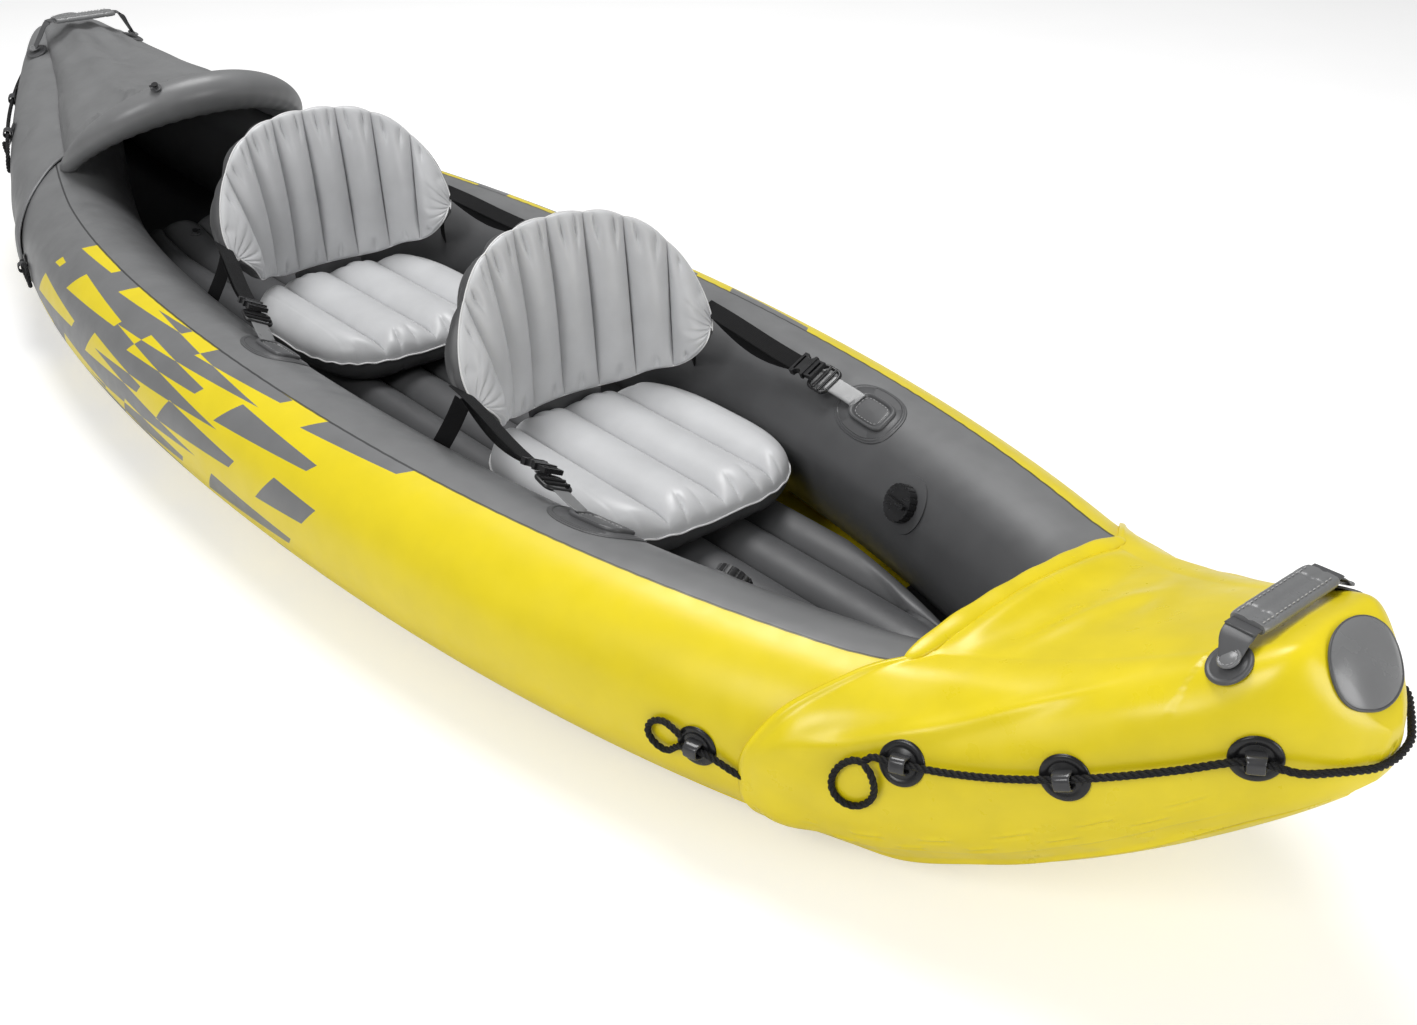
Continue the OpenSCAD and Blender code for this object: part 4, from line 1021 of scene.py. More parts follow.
class KAYAK_OT_cords(bpy.types.Operator):
    """Grab lines at both ends and the short ties at the side fittings"""

    bl_idname = "kayak.cords"
    bl_label = "Cords"

    def execute(self, context):
        for end, name in ((1, "bow"), (-1, "stern")):
            path = np.concatenate([end_loop(end)[::-1], grab_line_path(end)[::-1]])
            make_cord(f"{name}_grab_line_cord", path, f"{name}_grab_line")
        c = CONTACT + FITTING_T + TIE_LIFT + ROPE_D / 2
        for x, where in zip(SIDE_SPOTS, ("bow", "stern")):
            for side, hand in SIDES:
                th = np.degrees(TIE_SHAPE[:, 1] / TUBE_R)
                path = skin(x + np.sign(x) * TIE_SHAPE[:, 0], th, c, side)
                path[:, 1] -= side * TIE_SINK * (np.abs(TIE_SHAPE[:, 0]) > 30)
                make_cord(f"{where}_{hand}_tie", path)
        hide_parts("cover_ties")
        return {"FINISHED"}


# Hull skins

WELD_TH = 80.0
BOTTOM_T = 3.0
LAP_TH = (-57.0, -90.0)
BELLY_DROP = 17.0
BELLY_FLAT = 0.45
FLOOR_END = 60.0
FLOOR_EDGE = 40.0
FLOOR_INSET = 19.2
FLOOR_SINK = 16.2
FLOOR_UP = 0.55 * FLOOR_T
FLOOR_DOWN = 0.45 * FLOOR_T
FLOOR_DIP = (30.0, 14.0)


def hull_rows(count, reach):
    """Stations along the hull, closer together towards the tips."""
    s = np.linspace(-1, 1, count)
    return reach * mixed(np.sin(np.pi / 2 * s), s, 0.35)


class KAYAK_OT_chambers(bpy.types.Operator):
    """Side chambers with welded seams and printed bars"""

    bl_idname = "kayak.chambers"
    bl_label = "Side chambers"

    def execute(self, context):
        x = hull_rows(detail().rings, HALF_LEN - 4.0)
        th = np.linspace(-110.0, 250.0, 121)
        grid_x, grid_th = np.meshgrid(x, th, indexing="ij")
        seam = bell(grid_th - WELD_TH, 1.3) + 0.7 * bell(grid_th + 62.0, 1.5)
        gather = np.sin(grid_x / 5.3 + 1.7 * np.sin(grid_x / 61.0)) * bell(grid_th - WELD_TH, 7.0)
        slack = np.sin(grid_x / 140.0 + grid_th / 23.0) * np.sin(grid_th / 17.0 + 1.0)
        c = detail().seam_lift * seam + 0.35 * gather + 0.3 * slack
        uv = np.stack([grid_x * MM, np.radians(90.0 - grid_th) * TUBE_R * MM], axis=-1)
        for side, name in ((-1, "starboard_chamber"), (1, "port_chamber")):
            points = skin(grid_x, grid_th, c, side)[:, :-1]
            made = piece(f"{name}_skin", [closed(points, uv=uv)], ["hull"])
            finish_piece(made, "hull", [name])
        return {"FINISHED"}


class KAYAK_OT_bottom(bpy.types.Operator):
    """Bottom sheet with its flat belly"""

    bl_idname = "kayak.bottom"
    bl_label = "Bottom sheet"

    def execute(self, context):
        x = hull_rows(200, HALF_LEN - 14.0)
        laps = np.linspace(*LAP_TH, 12)
        e = np.linspace(-1.0, 1.0, 61)[1:-1]
        drop = BELLY_DROP * mixed(1, 0.1, np.minimum(1, ramp(np.abs(x), HALF_LEN - 420.0, HALF_LEN - 100.0)))
        edge = np.clip((np.abs(e) - BELLY_FLAT) / (1 - BELLY_FLAT), 0, 1)
        belly = 0.5 + 0.5 * np.cos(np.pi * edge)
        rib = 0.5 * bell(np.abs(e) - BELLY_FLAT, 0.02)
        z = (keel_z(x) - BOTTOM_C)[:, None] - drop[:, None] * belly + rib
        middle = xyz(x[:, None], e * cham_y(x)[:, None], z)
        lap = skin(x[:, None], laps[None], BOTTOM_C, -1)
        points = np.concatenate([lap, middle, (lap * MIRROR)[:, ::-1]], axis=1)
        made = piece("bottom_sheet_skin", [Patch(points, inside=(0, 0, 900))], ["yellow", "inside"])
        thicken(made, BOTTOM_T, 1)
        finish_piece(made, "hull", ["bottom_sheet"])
        return {"FINISHED"}


def crease_dip(f):
    """Depth share of a groove between round tubes: one minus a circle's height, nearly full at each weld."""
    return 1 - np.sqrt(1 - (0.995 * f) ** 2)


def channel_steps(channels, each):
    """Steps across a row of channels, from minus one to one, closer together at the welds."""
    local = 0.5 - 0.5 * np.cos(np.linspace(0, np.pi, each, endpoint=False))
    steps = (np.arange(channels)[:, None] + local[None]).ravel()
    return np.append(steps, channels) * 2 / channels - 1


def channel_share(s, channels):
    """Place within a channel, one at its welds and nought in its middle."""
    q = (s + 1) / 2 * channels
    return np.abs(2 * (q - np.floor(q)) - 1)


class KAYAK_OT_floor(bpy.types.Operator):
    """Lift-out floor with lengthwise tubes"""

    bl_idname = "kayak.floor"
    bl_label = "Floor"

    def execute(self, context):
        s = channel_steps(4, 30)
        ends = FLOOR_END * (1 - np.cos(np.linspace(0, np.pi / 2, 14)))
        level = np.linspace(FLOOR_X[0] + FLOOR_END, FLOOR_X[1] - FLOOR_END, 230)
        x = np.concatenate([FLOOR_X[0] + ends[:-1], level, (FLOOR_X[1] - ends[:-1])[::-1]])
        wide = np.minimum(2 * FLOOR_PITCH, cham_y(x) - cham_a(x) - 4.0)[:, None]
        y = np.sign(s) * np.minimum(2 * FLOOR_PITCH * np.abs(s), wide - FLOOR_INSET * (1 - np.abs(s)))
        edge = np.minimum(1, (wide - np.abs(y)) / FLOOR_EDGE + 0.06)
        tip = np.minimum(1, np.minimum(x - FLOOR_X[0], FLOOR_X[1] - x) / FLOOR_END + 0.06)[:, None]
        bulge = np.sqrt(1 - (1 - edge) ** 2) * np.sqrt(1 - (1 - tip) ** 2)
        mid = (keel_z(x) - FLOOR_SINK + FLOOR_DOWN)[:, None]
        q = np.abs(y) / FLOOR_PITCH
        f = np.abs(2 * (q - np.floor(q)) - 1)
        dip = np.where(edge < 1, 0.5, 1.0) * crease_dip(f)
        ripple = np.sin(x / 4.6 + 1.3 * np.sin(x / 47.0))[:, None] * dip**2
        up = mid + (FLOOR_UP - FLOOR_DIP[0] * dip) * bulge + 0.7 * ripple * bulge
        down = mid - (FLOOR_DOWN - FLOOR_DIP[1] * dip) * bulge
        points = np.concatenate([xyz(x[:, None], y, up), xyz(x[:, None], y, down)[:, ::-1]], axis=1)
        made = piece("floor_pad", [Patch(points, wrap=True, caps="strip")], ["floor"])
        finish_piece(made, "hull", ["inflatable_floor"])
        return {"FINISHED"}


# Covers

COVER_T = 2.4
TIP_ROWS = 16


def cover_columns(low, high, deck):
    """Angles and deck shares across a cover: up the port side, over the deck and down the starboard side."""
    side = np.concatenate([np.linspace(SEAM_TH, -12.0, low), np.linspace(-12.0, 90.0, high)[1:]])
    across = np.linspace(1.0, -1.0, deck)[1:-1]
    th = np.concatenate([side, np.full(len(across), 90.0), side[::-1]])
    eta = np.concatenate([np.ones(len(side)), across, -np.ones(len(side))])
    on_deck = np.concatenate([np.zeros(len(side)), np.ones(len(across)), np.zeros(len(side))]) > 0
    return th, eta, on_deck


def cover_point(x, th, eta, on_deck, c, deck):
    """Point of a cover: on the chamber's side by angle, or on the deck by its share of the breadth."""
    side = np.where(eta > 0, 1.0, -1.0)
    on_side = skin(x, th, c, side)
    y = eta * cham_y(x)
    on_top = xyz(x, y, deck(x, y, c))
    return np.where(on_deck[..., None], on_top, on_side)


def tip_rings(ring, end):
    """Rings that draw a cover together in front of the tip, shrinking towards its lower seam's height."""
    share = np.array([0.9, 0.7, 0.4, 0.03])
    centre = np.array([end * HALF_LEN, 0.0, ring[:, 2].mean()])
    rows = centre + (ring - centre) * share[:, None, None]
    rows[..., 0] += end * 3.0 * np.sqrt(1 - share**2)[:, None]
    return rows


def tip_web(rows):
    """Sheet between the two lower edges of a cover at its tip, hung below them by a share of its width."""
    s = np.linspace(0, 1, 13)[None, :, None]
    width = np.linalg.norm(rows[:, -1:] - rows[:, :1], axis=-1, keepdims=True)
    sag = 0.08 * width * (1 - (2 * s - 1) ** 4)
    return mixed(rows[:, :1], rows[:, -1:], s) - sag * np.array([0.0, 0.0, 1.0])


def cover_rows():
    """Shares of the way along a cover, a little closer together at its start."""
    return np.linspace(0, 1, 146)[:, None] ** 1.1


def cover_hem(inward, th, height, top):
    """Welded hem along a cover's edge, with a puff behind it that ends at an angle near the top."""
    puff = height * bell(inward - 30.0, 26.0) * smooth((th + 50.0) / 20.0) * smooth((top - th) / 30.0)
    return 2.4 * bell(inward - 7.0, 5.0) + puff


def bow_folds(x, th, eta, on_deck):
    """Slack of the bow cover: a soft roll and folds at the deck edge, gathers, marks and a lip below."""
    t = np.clip((x - DECK_X) / (HALF_LEN - DECK_X), -0.4, 1.0)
    away = 1 - bell(th - 16.0 - 12.0 * t, 15.0)
    side = np.sin(x / 21.0 + th / 9.0) * np.sin(x / 67.0 - th / 31.0 + 0.6) * away
    long = bell(th - 60.0 + 70.0 * (0.45 - t), 6.0) * smooth((t + 0.25) / 0.2) * smooth((0.55 - t) / 0.2)
    seam = bell(th + 43.0, 5.0) * (np.sin(x / 9.0 + 2.0 * np.sin(x / 37.0)) - 0.3)
    ledge = smooth((th + 38.0) / 2.0) * 2.2 - 2.2
    lip = 4.5 * bell(th - SEAM_TH, 3.0) * smooth((t + 0.1) / 0.2)
    row = th + 24.0 - 10.0 * t
    dash = smooth((np.cos(x / 10.5) - 0.2) / 0.15)
    other = smooth((np.cos(x / 10.5 + 2.6) - 0.45) / 0.15)
    marks = dash * (bell(row, 1.4) - 0.8 * bell(row + 3.0, 1.4))
    marks = marks + other * (bell(row + 9.0, 1.2) - 0.8 * bell(row + 11.6, 1.2))
    from_edge = x - DECK_X
    across = 1 - 0.5 * eta**2
    roll = 11.0 * bell(from_edge - 20.0, 17.0) - 3.5 * bell(from_edge - 60.0, 16.0)
    second = 5.0 * bell(from_edge - 100.0 - 30.0 * eta, 15.0) * smooth((0.7 - eta) / 0.5)
    third = 3.0 * bell(from_edge - 150.0 + 40.0 * eta, 14.0) * smooth((eta + 0.4) / 0.5)
    deck = np.sin(x / 33.0 + 2.6 * eta) * np.sin(x / 71.0 - 3.0 * eta) * (1 - smooth((t - 0.55) / 0.2))
    fold = np.where(on_deck, 0.6 * deck * (1 - eta**4), 0.6 * side * smooth((80.0 - th) / 20.0) + 0.4 * seam)
    sides = ledge + lip + 1.7 * marks * smooth((t + 0.12) / 0.1) + 4.0 * long
    fixed = np.where(on_deck, (roll + second + third) * across * (1 - eta**6), sides)
    return (detail().fold_depth * fold + fixed) * smooth((HALF_LEN - 70.0 - x) / 60.0)


class KAYAK_OT_bow_cover(bpy.types.Operator):
    """Yellow bow cover with its rolled rim"""

    bl_idname = "kayak.bow_cover"
    bl_label = "Bow cover"

    def execute(self, context):
        th, eta, on_deck = cover_columns(58, 50, 81)
        edge = DECK_X - np.where(on_deck, 0.0, lobe(th))
        x = mixed(edge[None], HALF_LEN, cover_rows())
        grids = np.broadcast_arrays(x, th[None], eta[None], on_deck[None])
        inward = x - edge[None]
        hem = cover_hem(inward, th, 8.0, 50.0)
        wave = 1.6 * np.sin(th / 5.0) * np.exp(-inward / 40.0)
        c = COVER_C + bow_folds(*grids) + np.where(on_deck, 0.0, hem + wave)
        points = cover_point(*grids, c, bow_deck)
        points = np.concatenate([points, tip_rings(points[-1], 1)])
        patches = [Patch(points, inside=(1300, 0, 180)),
                   Patch(tip_web(points[-TIP_ROWS:]), inside=(1300, 0, 250))]
        made = piece("bow_cover_skin", patches, ["yellow"])
        thicken(made, COVER_T)
        finish_piece(made, "hull", ["bow_cover"])
        self.roll()
        return {"FINISHED"}

    def roll(self):
        """Rolled edge of the deck: a flattened tube that laps onto the cover like one soft fold."""
        rim_x = np.float64(DECK_X - RIM_D / 2 - CONTACT)
        s = np.linspace(-1, 1, 120)
        y = s * (cham_y(rim_x) + 20.0)
        drop = np.where(np.abs(y) < cham_y(rim_x), bow_deck(rim_x, y, 1.2), top_z(rim_x, y, 1.2))
        radius = (RIM_D / 2 * (1 + 0.04 * np.sin(y / 9.0))) * np.sqrt(np.clip(1.04 - s**6, 0.04, 1))
        path = xyz(rim_x, y, drop + radius)
        points = tube(path, radius, 32)
        ahead = np.maximum(0.0, points[..., 0] - path[:, None, 0])
        points[..., 0] += 1.6 * ahead
        made = piece("bow_deck_roll", [closed(points)], ["yellow"])
        finish_piece(made, "hull", ["bow_deck_rim"])


def drawn_creases(eta, behind):
    """Sharp folds that run aft from the arch, each with its own lean, length and depth."""
    k = np.arange(16)
    spot = np.linspace(-0.9, 0.9, 16) + 0.04 * np.sin(5.0 * k)
    lean = 0.45 * np.sin(2.4 * k)
    reach = 95.0 + 60.0 * np.cos(1.7 * k)
    depth = 0.65 + 0.35 * np.sin(3.1 * k + 1.0)
    away = np.abs(eta[..., None] - spot - lean * behind[..., None] / 300.0)
    return (depth * np.exp(-away / 0.04) * bell(behind[..., None], reach)).sum(axis=-1)


def stern_folds(x, th, eta, on_deck):
    """Slack of the stern cover: folds drawn from the arch to the tip, deepest just behind the arch."""
    t = np.clip((x + HALF_LEN) / (ARCH_FOOT_X + HALF_LEN), 0.0, 1.3)
    behind = np.clip(deck_reach(eta) - 40.0 - x, 0.0, None)
    long = np.sin(7.0 * eta + 2.2 * t) * np.sin(3.0 * eta - 4.0 * t + 1.0) * t * (1.25 - t)
    cross = np.sin(x / 29.0 + 3.0 * eta) * np.sin(x / 83.0 + 1.0) * 0.7
    hollow = bell(t - 0.62, 0.2) * (1 - eta**2)
    away = 1 - bell(th - 26.0, 15.0)
    side = np.sin(x / 24.0 + th / 11.0) * np.sin(x / 61.0 - th / 27.0) * away * smooth((80.0 - th) / 20.0)
    creases = 9.0 * drawn_creases(eta, behind) * smooth(behind / 20.0)
    fold = np.where(on_deck, (9.0 * long + creases + 1.4 * cross - 5.0 * hollow) * (1 - eta**4), 0.9 * side)
    lip = np.where(on_deck, 0.0, 4.0 * bell(th - SEAM_TH, 3.5))
    return (detail().fold_depth * fold + lip) * smooth((x + HALF_LEN - 70.0) / 60.0)


class KAYAK_OT_stern_cover(bpy.types.Operator):
    """Grey stern cover, drawn over the back of the arch"""

    bl_idname = "kayak.stern_cover"
    bl_label = "Stern cover"

    def execute(self, context):
        th, eta, on_deck = cover_columns(40, 50, 111)
        edge = np.where(on_deck, deck_reach(eta) - 14.0, ARCH_FOOT_X - ARCH_R + lobe(th))
        x = mixed(-HALF_LEN, edge[None], cover_rows())
        grids = np.broadcast_arrays(x, th[None], eta[None], on_deck[None])
        hem = np.where(on_deck, 0.0, cover_hem(edge[None] - x, th, 6.0, 40.0))
        c = COVER_C + stern_folds(*grids) + hem
        points = cover_point(*grids, c, stern_top)
        points = np.concatenate([tip_rings(points[0], -1)[::-1], points])
        patches = [Patch(points, inside=(-1250, 0, 180)),
                   Patch(tip_web(points[:TIP_ROWS]), inside=(-1250, 0, 300))]
        made = piece("stern_cover_skin", patches, ["loose", "lining"])
        thicken(made, COVER_T, 1)
        finish_piece(made, "hull", ["stern_cover"])
        return {"FINISHED"}


class KAYAK_OT_arch(bpy.types.Operator):
    """Inflated coaming arch in front of the stern cover"""

    bl_idname = "kayak.arch"
    bl_label = "Coaming arch"

    def execute(self, context):
        phi = np.linspace(0, 180, 190)
        path = arch_at(phi)
        up = unit(np.array([-ARCH_RISE, 0.0, ARCH_LEAN]))
        sides = 56
        radius = ARCH_R * (0.4 + 0.6 * np.sin(np.radians(phi)) ** 1.3)
        path[:, 2] -= 0.85 * (ARCH_R - radius)
        points = tube(path, radius, sides, up)
        a = np.linspace(0, 360, sides, endpoint=False)[None, :]
        gather = np.sin(np.radians(phi * 47.0))[:, None] * bell(a - 250.0, 55.0)
        seam = bell(a - 97.0, 5.0)
        way = unit(points - path[:, None])
        points = points + way * (0.7 * gather + 0.9 * seam)[..., None]
        x, y = points[..., 0], points[..., 1]
        d = (np.abs(y) - cham_y(x)) / (cham_a(x) + 0.8)
        over = np.where(np.abs(d) < 1, cham_z(x) + (cham_b(x) + 0.8) * np.sqrt(np.maximum(0, 1 - d * d)), 0.0)
        points[..., 2] = np.maximum(points[..., 2], over)
        made = piece("coaming_arch_tube", [closed(points)], ["grey"])
        finish_piece(made, "hull", ["coaming_arch"])
        return {"FINISHED"}


CAPS = ((1, bow_deck, 1.8, "bow_nose_cap"), (-1, stern_top, 2.5, "stern_end_cap"))
CAP_SETBACK = 38.0
CAP_HALF = (27.0, 50.0)


class KAYAK_OT_end_caps(bpy.types.Operator):
    """Domed oval caps on the nose face and the stern end"""

    bl_idname = "kayak.end_caps"
    bl_label = "End caps"

    def execute(self, context):
        phi = turns(72)[None]
        under = np.array([0.02, 0.5, 0.97])
        dome = np.concatenate([[1.0, 1.0], np.linspace(0.985, 0.02, 26)])
        rho = np.concatenate([under, dome])[:, None]
        rise = np.concatenate([[0, 0, 0, 0.4, 1.6], 2 + 9 * (1 - dome[2:] ** 2.4)])[:, None]
        for end, deck, seat, name in CAPS:
            x = end * (HALF_LEN - CAP_SETBACK + CAP_HALF[0] * rho * np.cos(phi))
            y = CAP_HALF[1] * rho * np.sin(phi) * end
            points = xyz(x, y, deck(x, y, COVER_C) + seat + rise)
            rim = points[3] + np.array([0, 0, 0.6])
            welt = tube(np.concatenate([rim, rim[:1]]), 1.5, 8)
            made = piece(f"{name}_dome", [closed(points), Patch(welt, wrap=True, slot=1)], ["cap", "patch"])
            finish_piece(made, "hull", [name])
        return {"FINISHED"}


# Seats


def seat_outline(x0, count, grow):
    """Closed outline of a seat base at its weld, a rounded rectangle by a power of the circle."""
    a = np.linspace(0, 2 * np.pi, count)
    power = 2 / SEAT_POWER
    x = x0 - SEAT_BACK + SEAT_LEN / 2 + (SEAT_LEN / 2 + grow) * blunt(np.cos(a), power)
    y = (SEAT_HALF_W + grow) * blunt(np.sin(a), power)
    return xyz(x, y, SEAT_Z0 + 0.5 * SEAT_T)


def seat_gathers(xi, y):
    """Short sharp creases that run in from the front and rear welds, uneven on purpose."""
    pitch = SEAT_HALF_W / 2
    spots = np.array([-1.66, -1.34, -0.72, -0.36, 0.27, 0.7, 1.22, 1.63]) * pitch
    widths = np.array([4.0, 5.0, 3.6, 5.2, 4.4, 4.8, 5.2, 3.8])
    depth = np.array([1.0, 0.7, 0.95, 0.6, 0.85, 1.0, 0.75, 0.9])
    lean = np.array([0.1, -0.15, 0.2, -0.1, 0.12, -0.2, 0.08, -0.1])
    inward = (1 - np.abs(xi)) * SEAT_LEN / 2
    away = np.abs(y[..., None] - spots - lean * inward[..., None])
    lines = (depth * np.exp(-away / widths)).sum(axis=-1)
    return lines * bell(inward - 10.0, 21.0)


def seat_base_points(x0):
    """Seat base: upper and lower film over a rounded outline, with round channels and gathers at the ends."""
    s = np.linspace(-1, 1, 121)
    xi = np.sin(np.pi / 2 * s)[:, None] * 0.9999
    hw = SEAT_HALF_W * np.maximum(0.0, 1 - np.abs(xi) ** SEAT_POWER) ** (1 / SEAT_POWER)
    cols = channel_steps(4, 64)[::-1][None]
    y = np.clip(cols * SEAT_HALF_W, -hw, hw)
    inset = np.minimum(1, (hw - np.abs(y)) / 45.0)
    tip = np.minimum(1, (1 - np.abs(xi)) * SEAT_LEN / 90.0)
    swell = np.sqrt(1 - (1 - inset) ** 2) * np.sqrt(1 - (1 - tip) ** 2)
    fade = 1 - np.abs(xi) ** 14
    f = channel_share(y / SEAT_HALF_W, 4)
    dip = 29.0 * np.where(np.abs(y) > 0.8 * SEAT_HALF_W, 0.0, crease_dip(f)) * fade
    gather = 4.2 * detail().pucker * seat_gathers(xi, y)
    mid = SEAT_Z0 + 0.5 * SEAT_T
    x = x0 - SEAT_BACK + SEAT_LEN / 2 * (1 + xi)
    top = xyz(x, y, mid + np.maximum(0.0, (0.5 * SEAT_T - dip - gather) * swell))
    low = xyz(x, y, mid - 0.5 * SEAT_T * swell + 0.4 * gather * swell)
    return top, low


class KAYAK_OT_seat_bases(bpy.types.Operator):
    """Seat bases with channels, welded edge and the strip that carries the backrest"""

    bl_idname = "kayak.seat_bases"
    bl_label = "Seat bases"

    def execute(self, context):
        for x0, name in SEATS:
            top, low = seat_base_points(x0)
            middle = (x0 + SEAT_LEN / 2, 0, SEAT_Z0 + SEAT_T / 2)
            weld = seat_outline(x0, 240, 1.0)
            weld[:, 2] += 1.0 * np.sin(np.linspace(0, 2 * np.pi, 240) * 31)
            u = np.linspace(-0.26, 0.26, 40)
            foot = back_mid(x0, u, 0.0)
            strip = xyz(foot[:, 0], foot[:, 1], HINGE_Z - 0.4 * (foot[:, 0] - x0) - 18.0)
            flap = ribbon(strip, np.broadcast_to([-1.0, 0, 0], strip.shape), 35.0, 2.6)
            patches = [
                Patch(top, inside=middle),
                Patch(low, inside=middle, slot=1),
                Patch(tube(weld, detail().piping_r, 10), wrap=True, slot=2),
                closed(flap, slot=1),
            ]
            made = piece(f"{name}_seat_pad", patches, ["seat", "under", "piping"])
            finish_piece(made, "hull", [f"{name}_seat_base"])
        return {"FINISHED"}


BACK_CREASES = np.array([
    [-0.95, 0.2], [-0.83, -0.1], [-0.7, 0.15], [-0.58, -0.2],
    [-0.45, 0.1], [-0.33, -0.15], [-0.2, 0.2], [-0.07, -0.05],
    [0.08, 0.1], [0.19, -0.2], [0.31, 0.15], [0.44, -0.1],
    [0.56, 0.2], [0.69, -0.15], [0.81, 0.1], [0.94, -0.2],
])


def back_film(x0, u, v, face):
    """One film of a backrest with round ends, pushed out by round channels and gathered along its weld."""
    f = channel_share(u, 8)
    edge = np.minimum(np.sin(np.pi * np.clip(v, 0, 1)), np.sqrt(np.maximum(0, 1 - np.abs(u) ** 8)))
    rows = edge ** (0.42 if face > 0 else 0.32)
    channel = 0.08 + 0.92 * np.sqrt(1 - (0.998 * f) ** 2)
    spots, lean = BACK_CREASES.T
    away = np.abs(u[..., None] - spots - lean * (1 - v[..., None]) * 0.5)
    lines = np.exp(-away / 0.014).sum(axis=-1)
    near = bell(v - 0.93, 0.085) + 0.6 * bell(v - 0.06, 0.05)
    ends = np.exp(-((1 - np.abs(u)) / 0.05)) * np.abs(np.sin(np.pi * 7.0 * v)) ** 6
    gather = (4.4 * lines * near + 2.6 * ends) * detail().pucker * rows * (1.0 if face > 0 else 0.6)
    thick = (BACK_HALF_T - 1.0) * rows * channel - np.minimum(gather, 0.8 * BACK_HALF_T * rows)
    scallop = -3.5 * f**2 * smooth((v - 0.75) / 0.25)
    tall = np.maximum(0.0, 1 - np.abs(u) ** 12) ** 0.4
    lift = 7.0 * bell(np.abs(u) - 0.6, 0.14) * np.clip(1 - v, 0, 1) ** 6
    mid = back_mid(x0, u, 0.5 + (v - 0.5) * tall)
    mid[..., 2] += scallop + lift
    weld = 6.0 * (1 - edge) ** 3
    return mid + (face * np.maximum(0.0, thick) + weld)[..., None] * back_normal(x0, u, v)


class KAYAK_OT_backrests(bpy.types.Operator):
    """Backrests with upright channels, darker rear film and welded edge"""

    bl_idname = "kayak.backrests"
    bl_label = "Backrests"

    def execute(self, context):
        u, v = np.meshgrid(channel_steps(8, 48), 0.5 - 0.5 * np.cos(np.linspace(0, np.pi, 81)))
        for x0, name in SEATS:
            front = back_film(x0, u, v, 1)
            rear = back_film(x0, u, v, -1)
            rim = (front + rear) / 2
            outline = np.concatenate([rim[-1], rim[::-1, -1][1:], rim[0, ::-1][1:], rim[:, 0][1:]])
            outline = resample(outline[::3], 420)
            centre = rim[40, 192]
            patches = [
                Patch(front, inside=centre - np.array([400.0, 0, 0])),
                Patch(rear, inside=centre + np.array([400.0, 0, 0]), slot=1),
                closed(tube(outline, detail().piping_r, 8, (1.0, 0.0, 0.0)), slot=2),
            ]
            made = piece(f"{name}_back_pad", patches, ["seat", "under", "piping"])
            finish_piece(made, f"{name}_back", [f"{name}_backrest"])
        return {"FINISHED"}


# Harness

WING_CLEAR = (9.0, 6.8)
REAR_FOOT = (28.0, 152.0)
BUCKLE_END = 24.0
WING_LAP = 24.0
PAD_AT = 8.0
PAD_HALF = (62.0, 44.0)
PLATE_AT = 14.0
PLATE_HALF = (38.0, 23.0)
SEWN_HALF = (26.0, 15.4)
TONGUE_AT = 50.0
TONGUE_HALF = (16.0, 20.5)


def flip(p, side):
    """Point on the other side of the boat where side is minus one."""
    return np.asarray(p, float) * np.array([1.0, side, 1.0])


def pull(x0, clear, side):
    """Straight pull from a backrest's wing to its patch: both ends, direction and the patch's normal."""
    wing = flip(back_mid(x0, np.float64(1.0), np.float64(0.75)) + [clear, 0, 0], side)
    patch = skin(x0 + PATCH_REACH - 30.0, PATCH_TH, 9.0, side)
    return wing, patch, unit(patch - wing), skin_normal(x0 + PATCH_REACH, PATCH_TH, side)


def strap(path, normal, width=WEB_W):
    """Webbing along a path, facing one way."""
    path = resample(path, 60)
    return closed(ribbon(path, np.broadcast_to(normal, path.shape), width, WEB_T))


def oval_patch(x, th, side, half, rows, power=0.85):
    """Oval patch that follows the chamber: rows of share and lift from its middle out and under."""
    a = turns(96)
    share, lift = np.asarray(rows, float).T
    dx = half[0] * share[:, None] * blunt(np.cos(a), power)
    dy = half[1] * share[:, None] * blunt(np.sin(a), power)
    return closed(skin(x + dx, th + np.degrees(dy / TUBE_R), lift[:, None], side))


PAD_ROWS = ((0.02, 2.2), (0.5, 2.2), (0.86, 2.2), (0.875, 1.4), (0.89, 2.2), (0.93, 2.1),
            (0.945, 1.2), (0.97, 1.3), (0.99, 1.1), (1.0, 0.6), (1.0, 0.2), (0.9, 0.2))
PLATE_ROWS = ((0.02, 4.6), (0.6, 4.6), (0.72, 4.4), (0.76, 3.6), (0.8, 5.6),
              (0.86, 7.0), (0.94, 7.0), (0.99, 5.6), (1.0, 4.0), (1.0, 2.0))


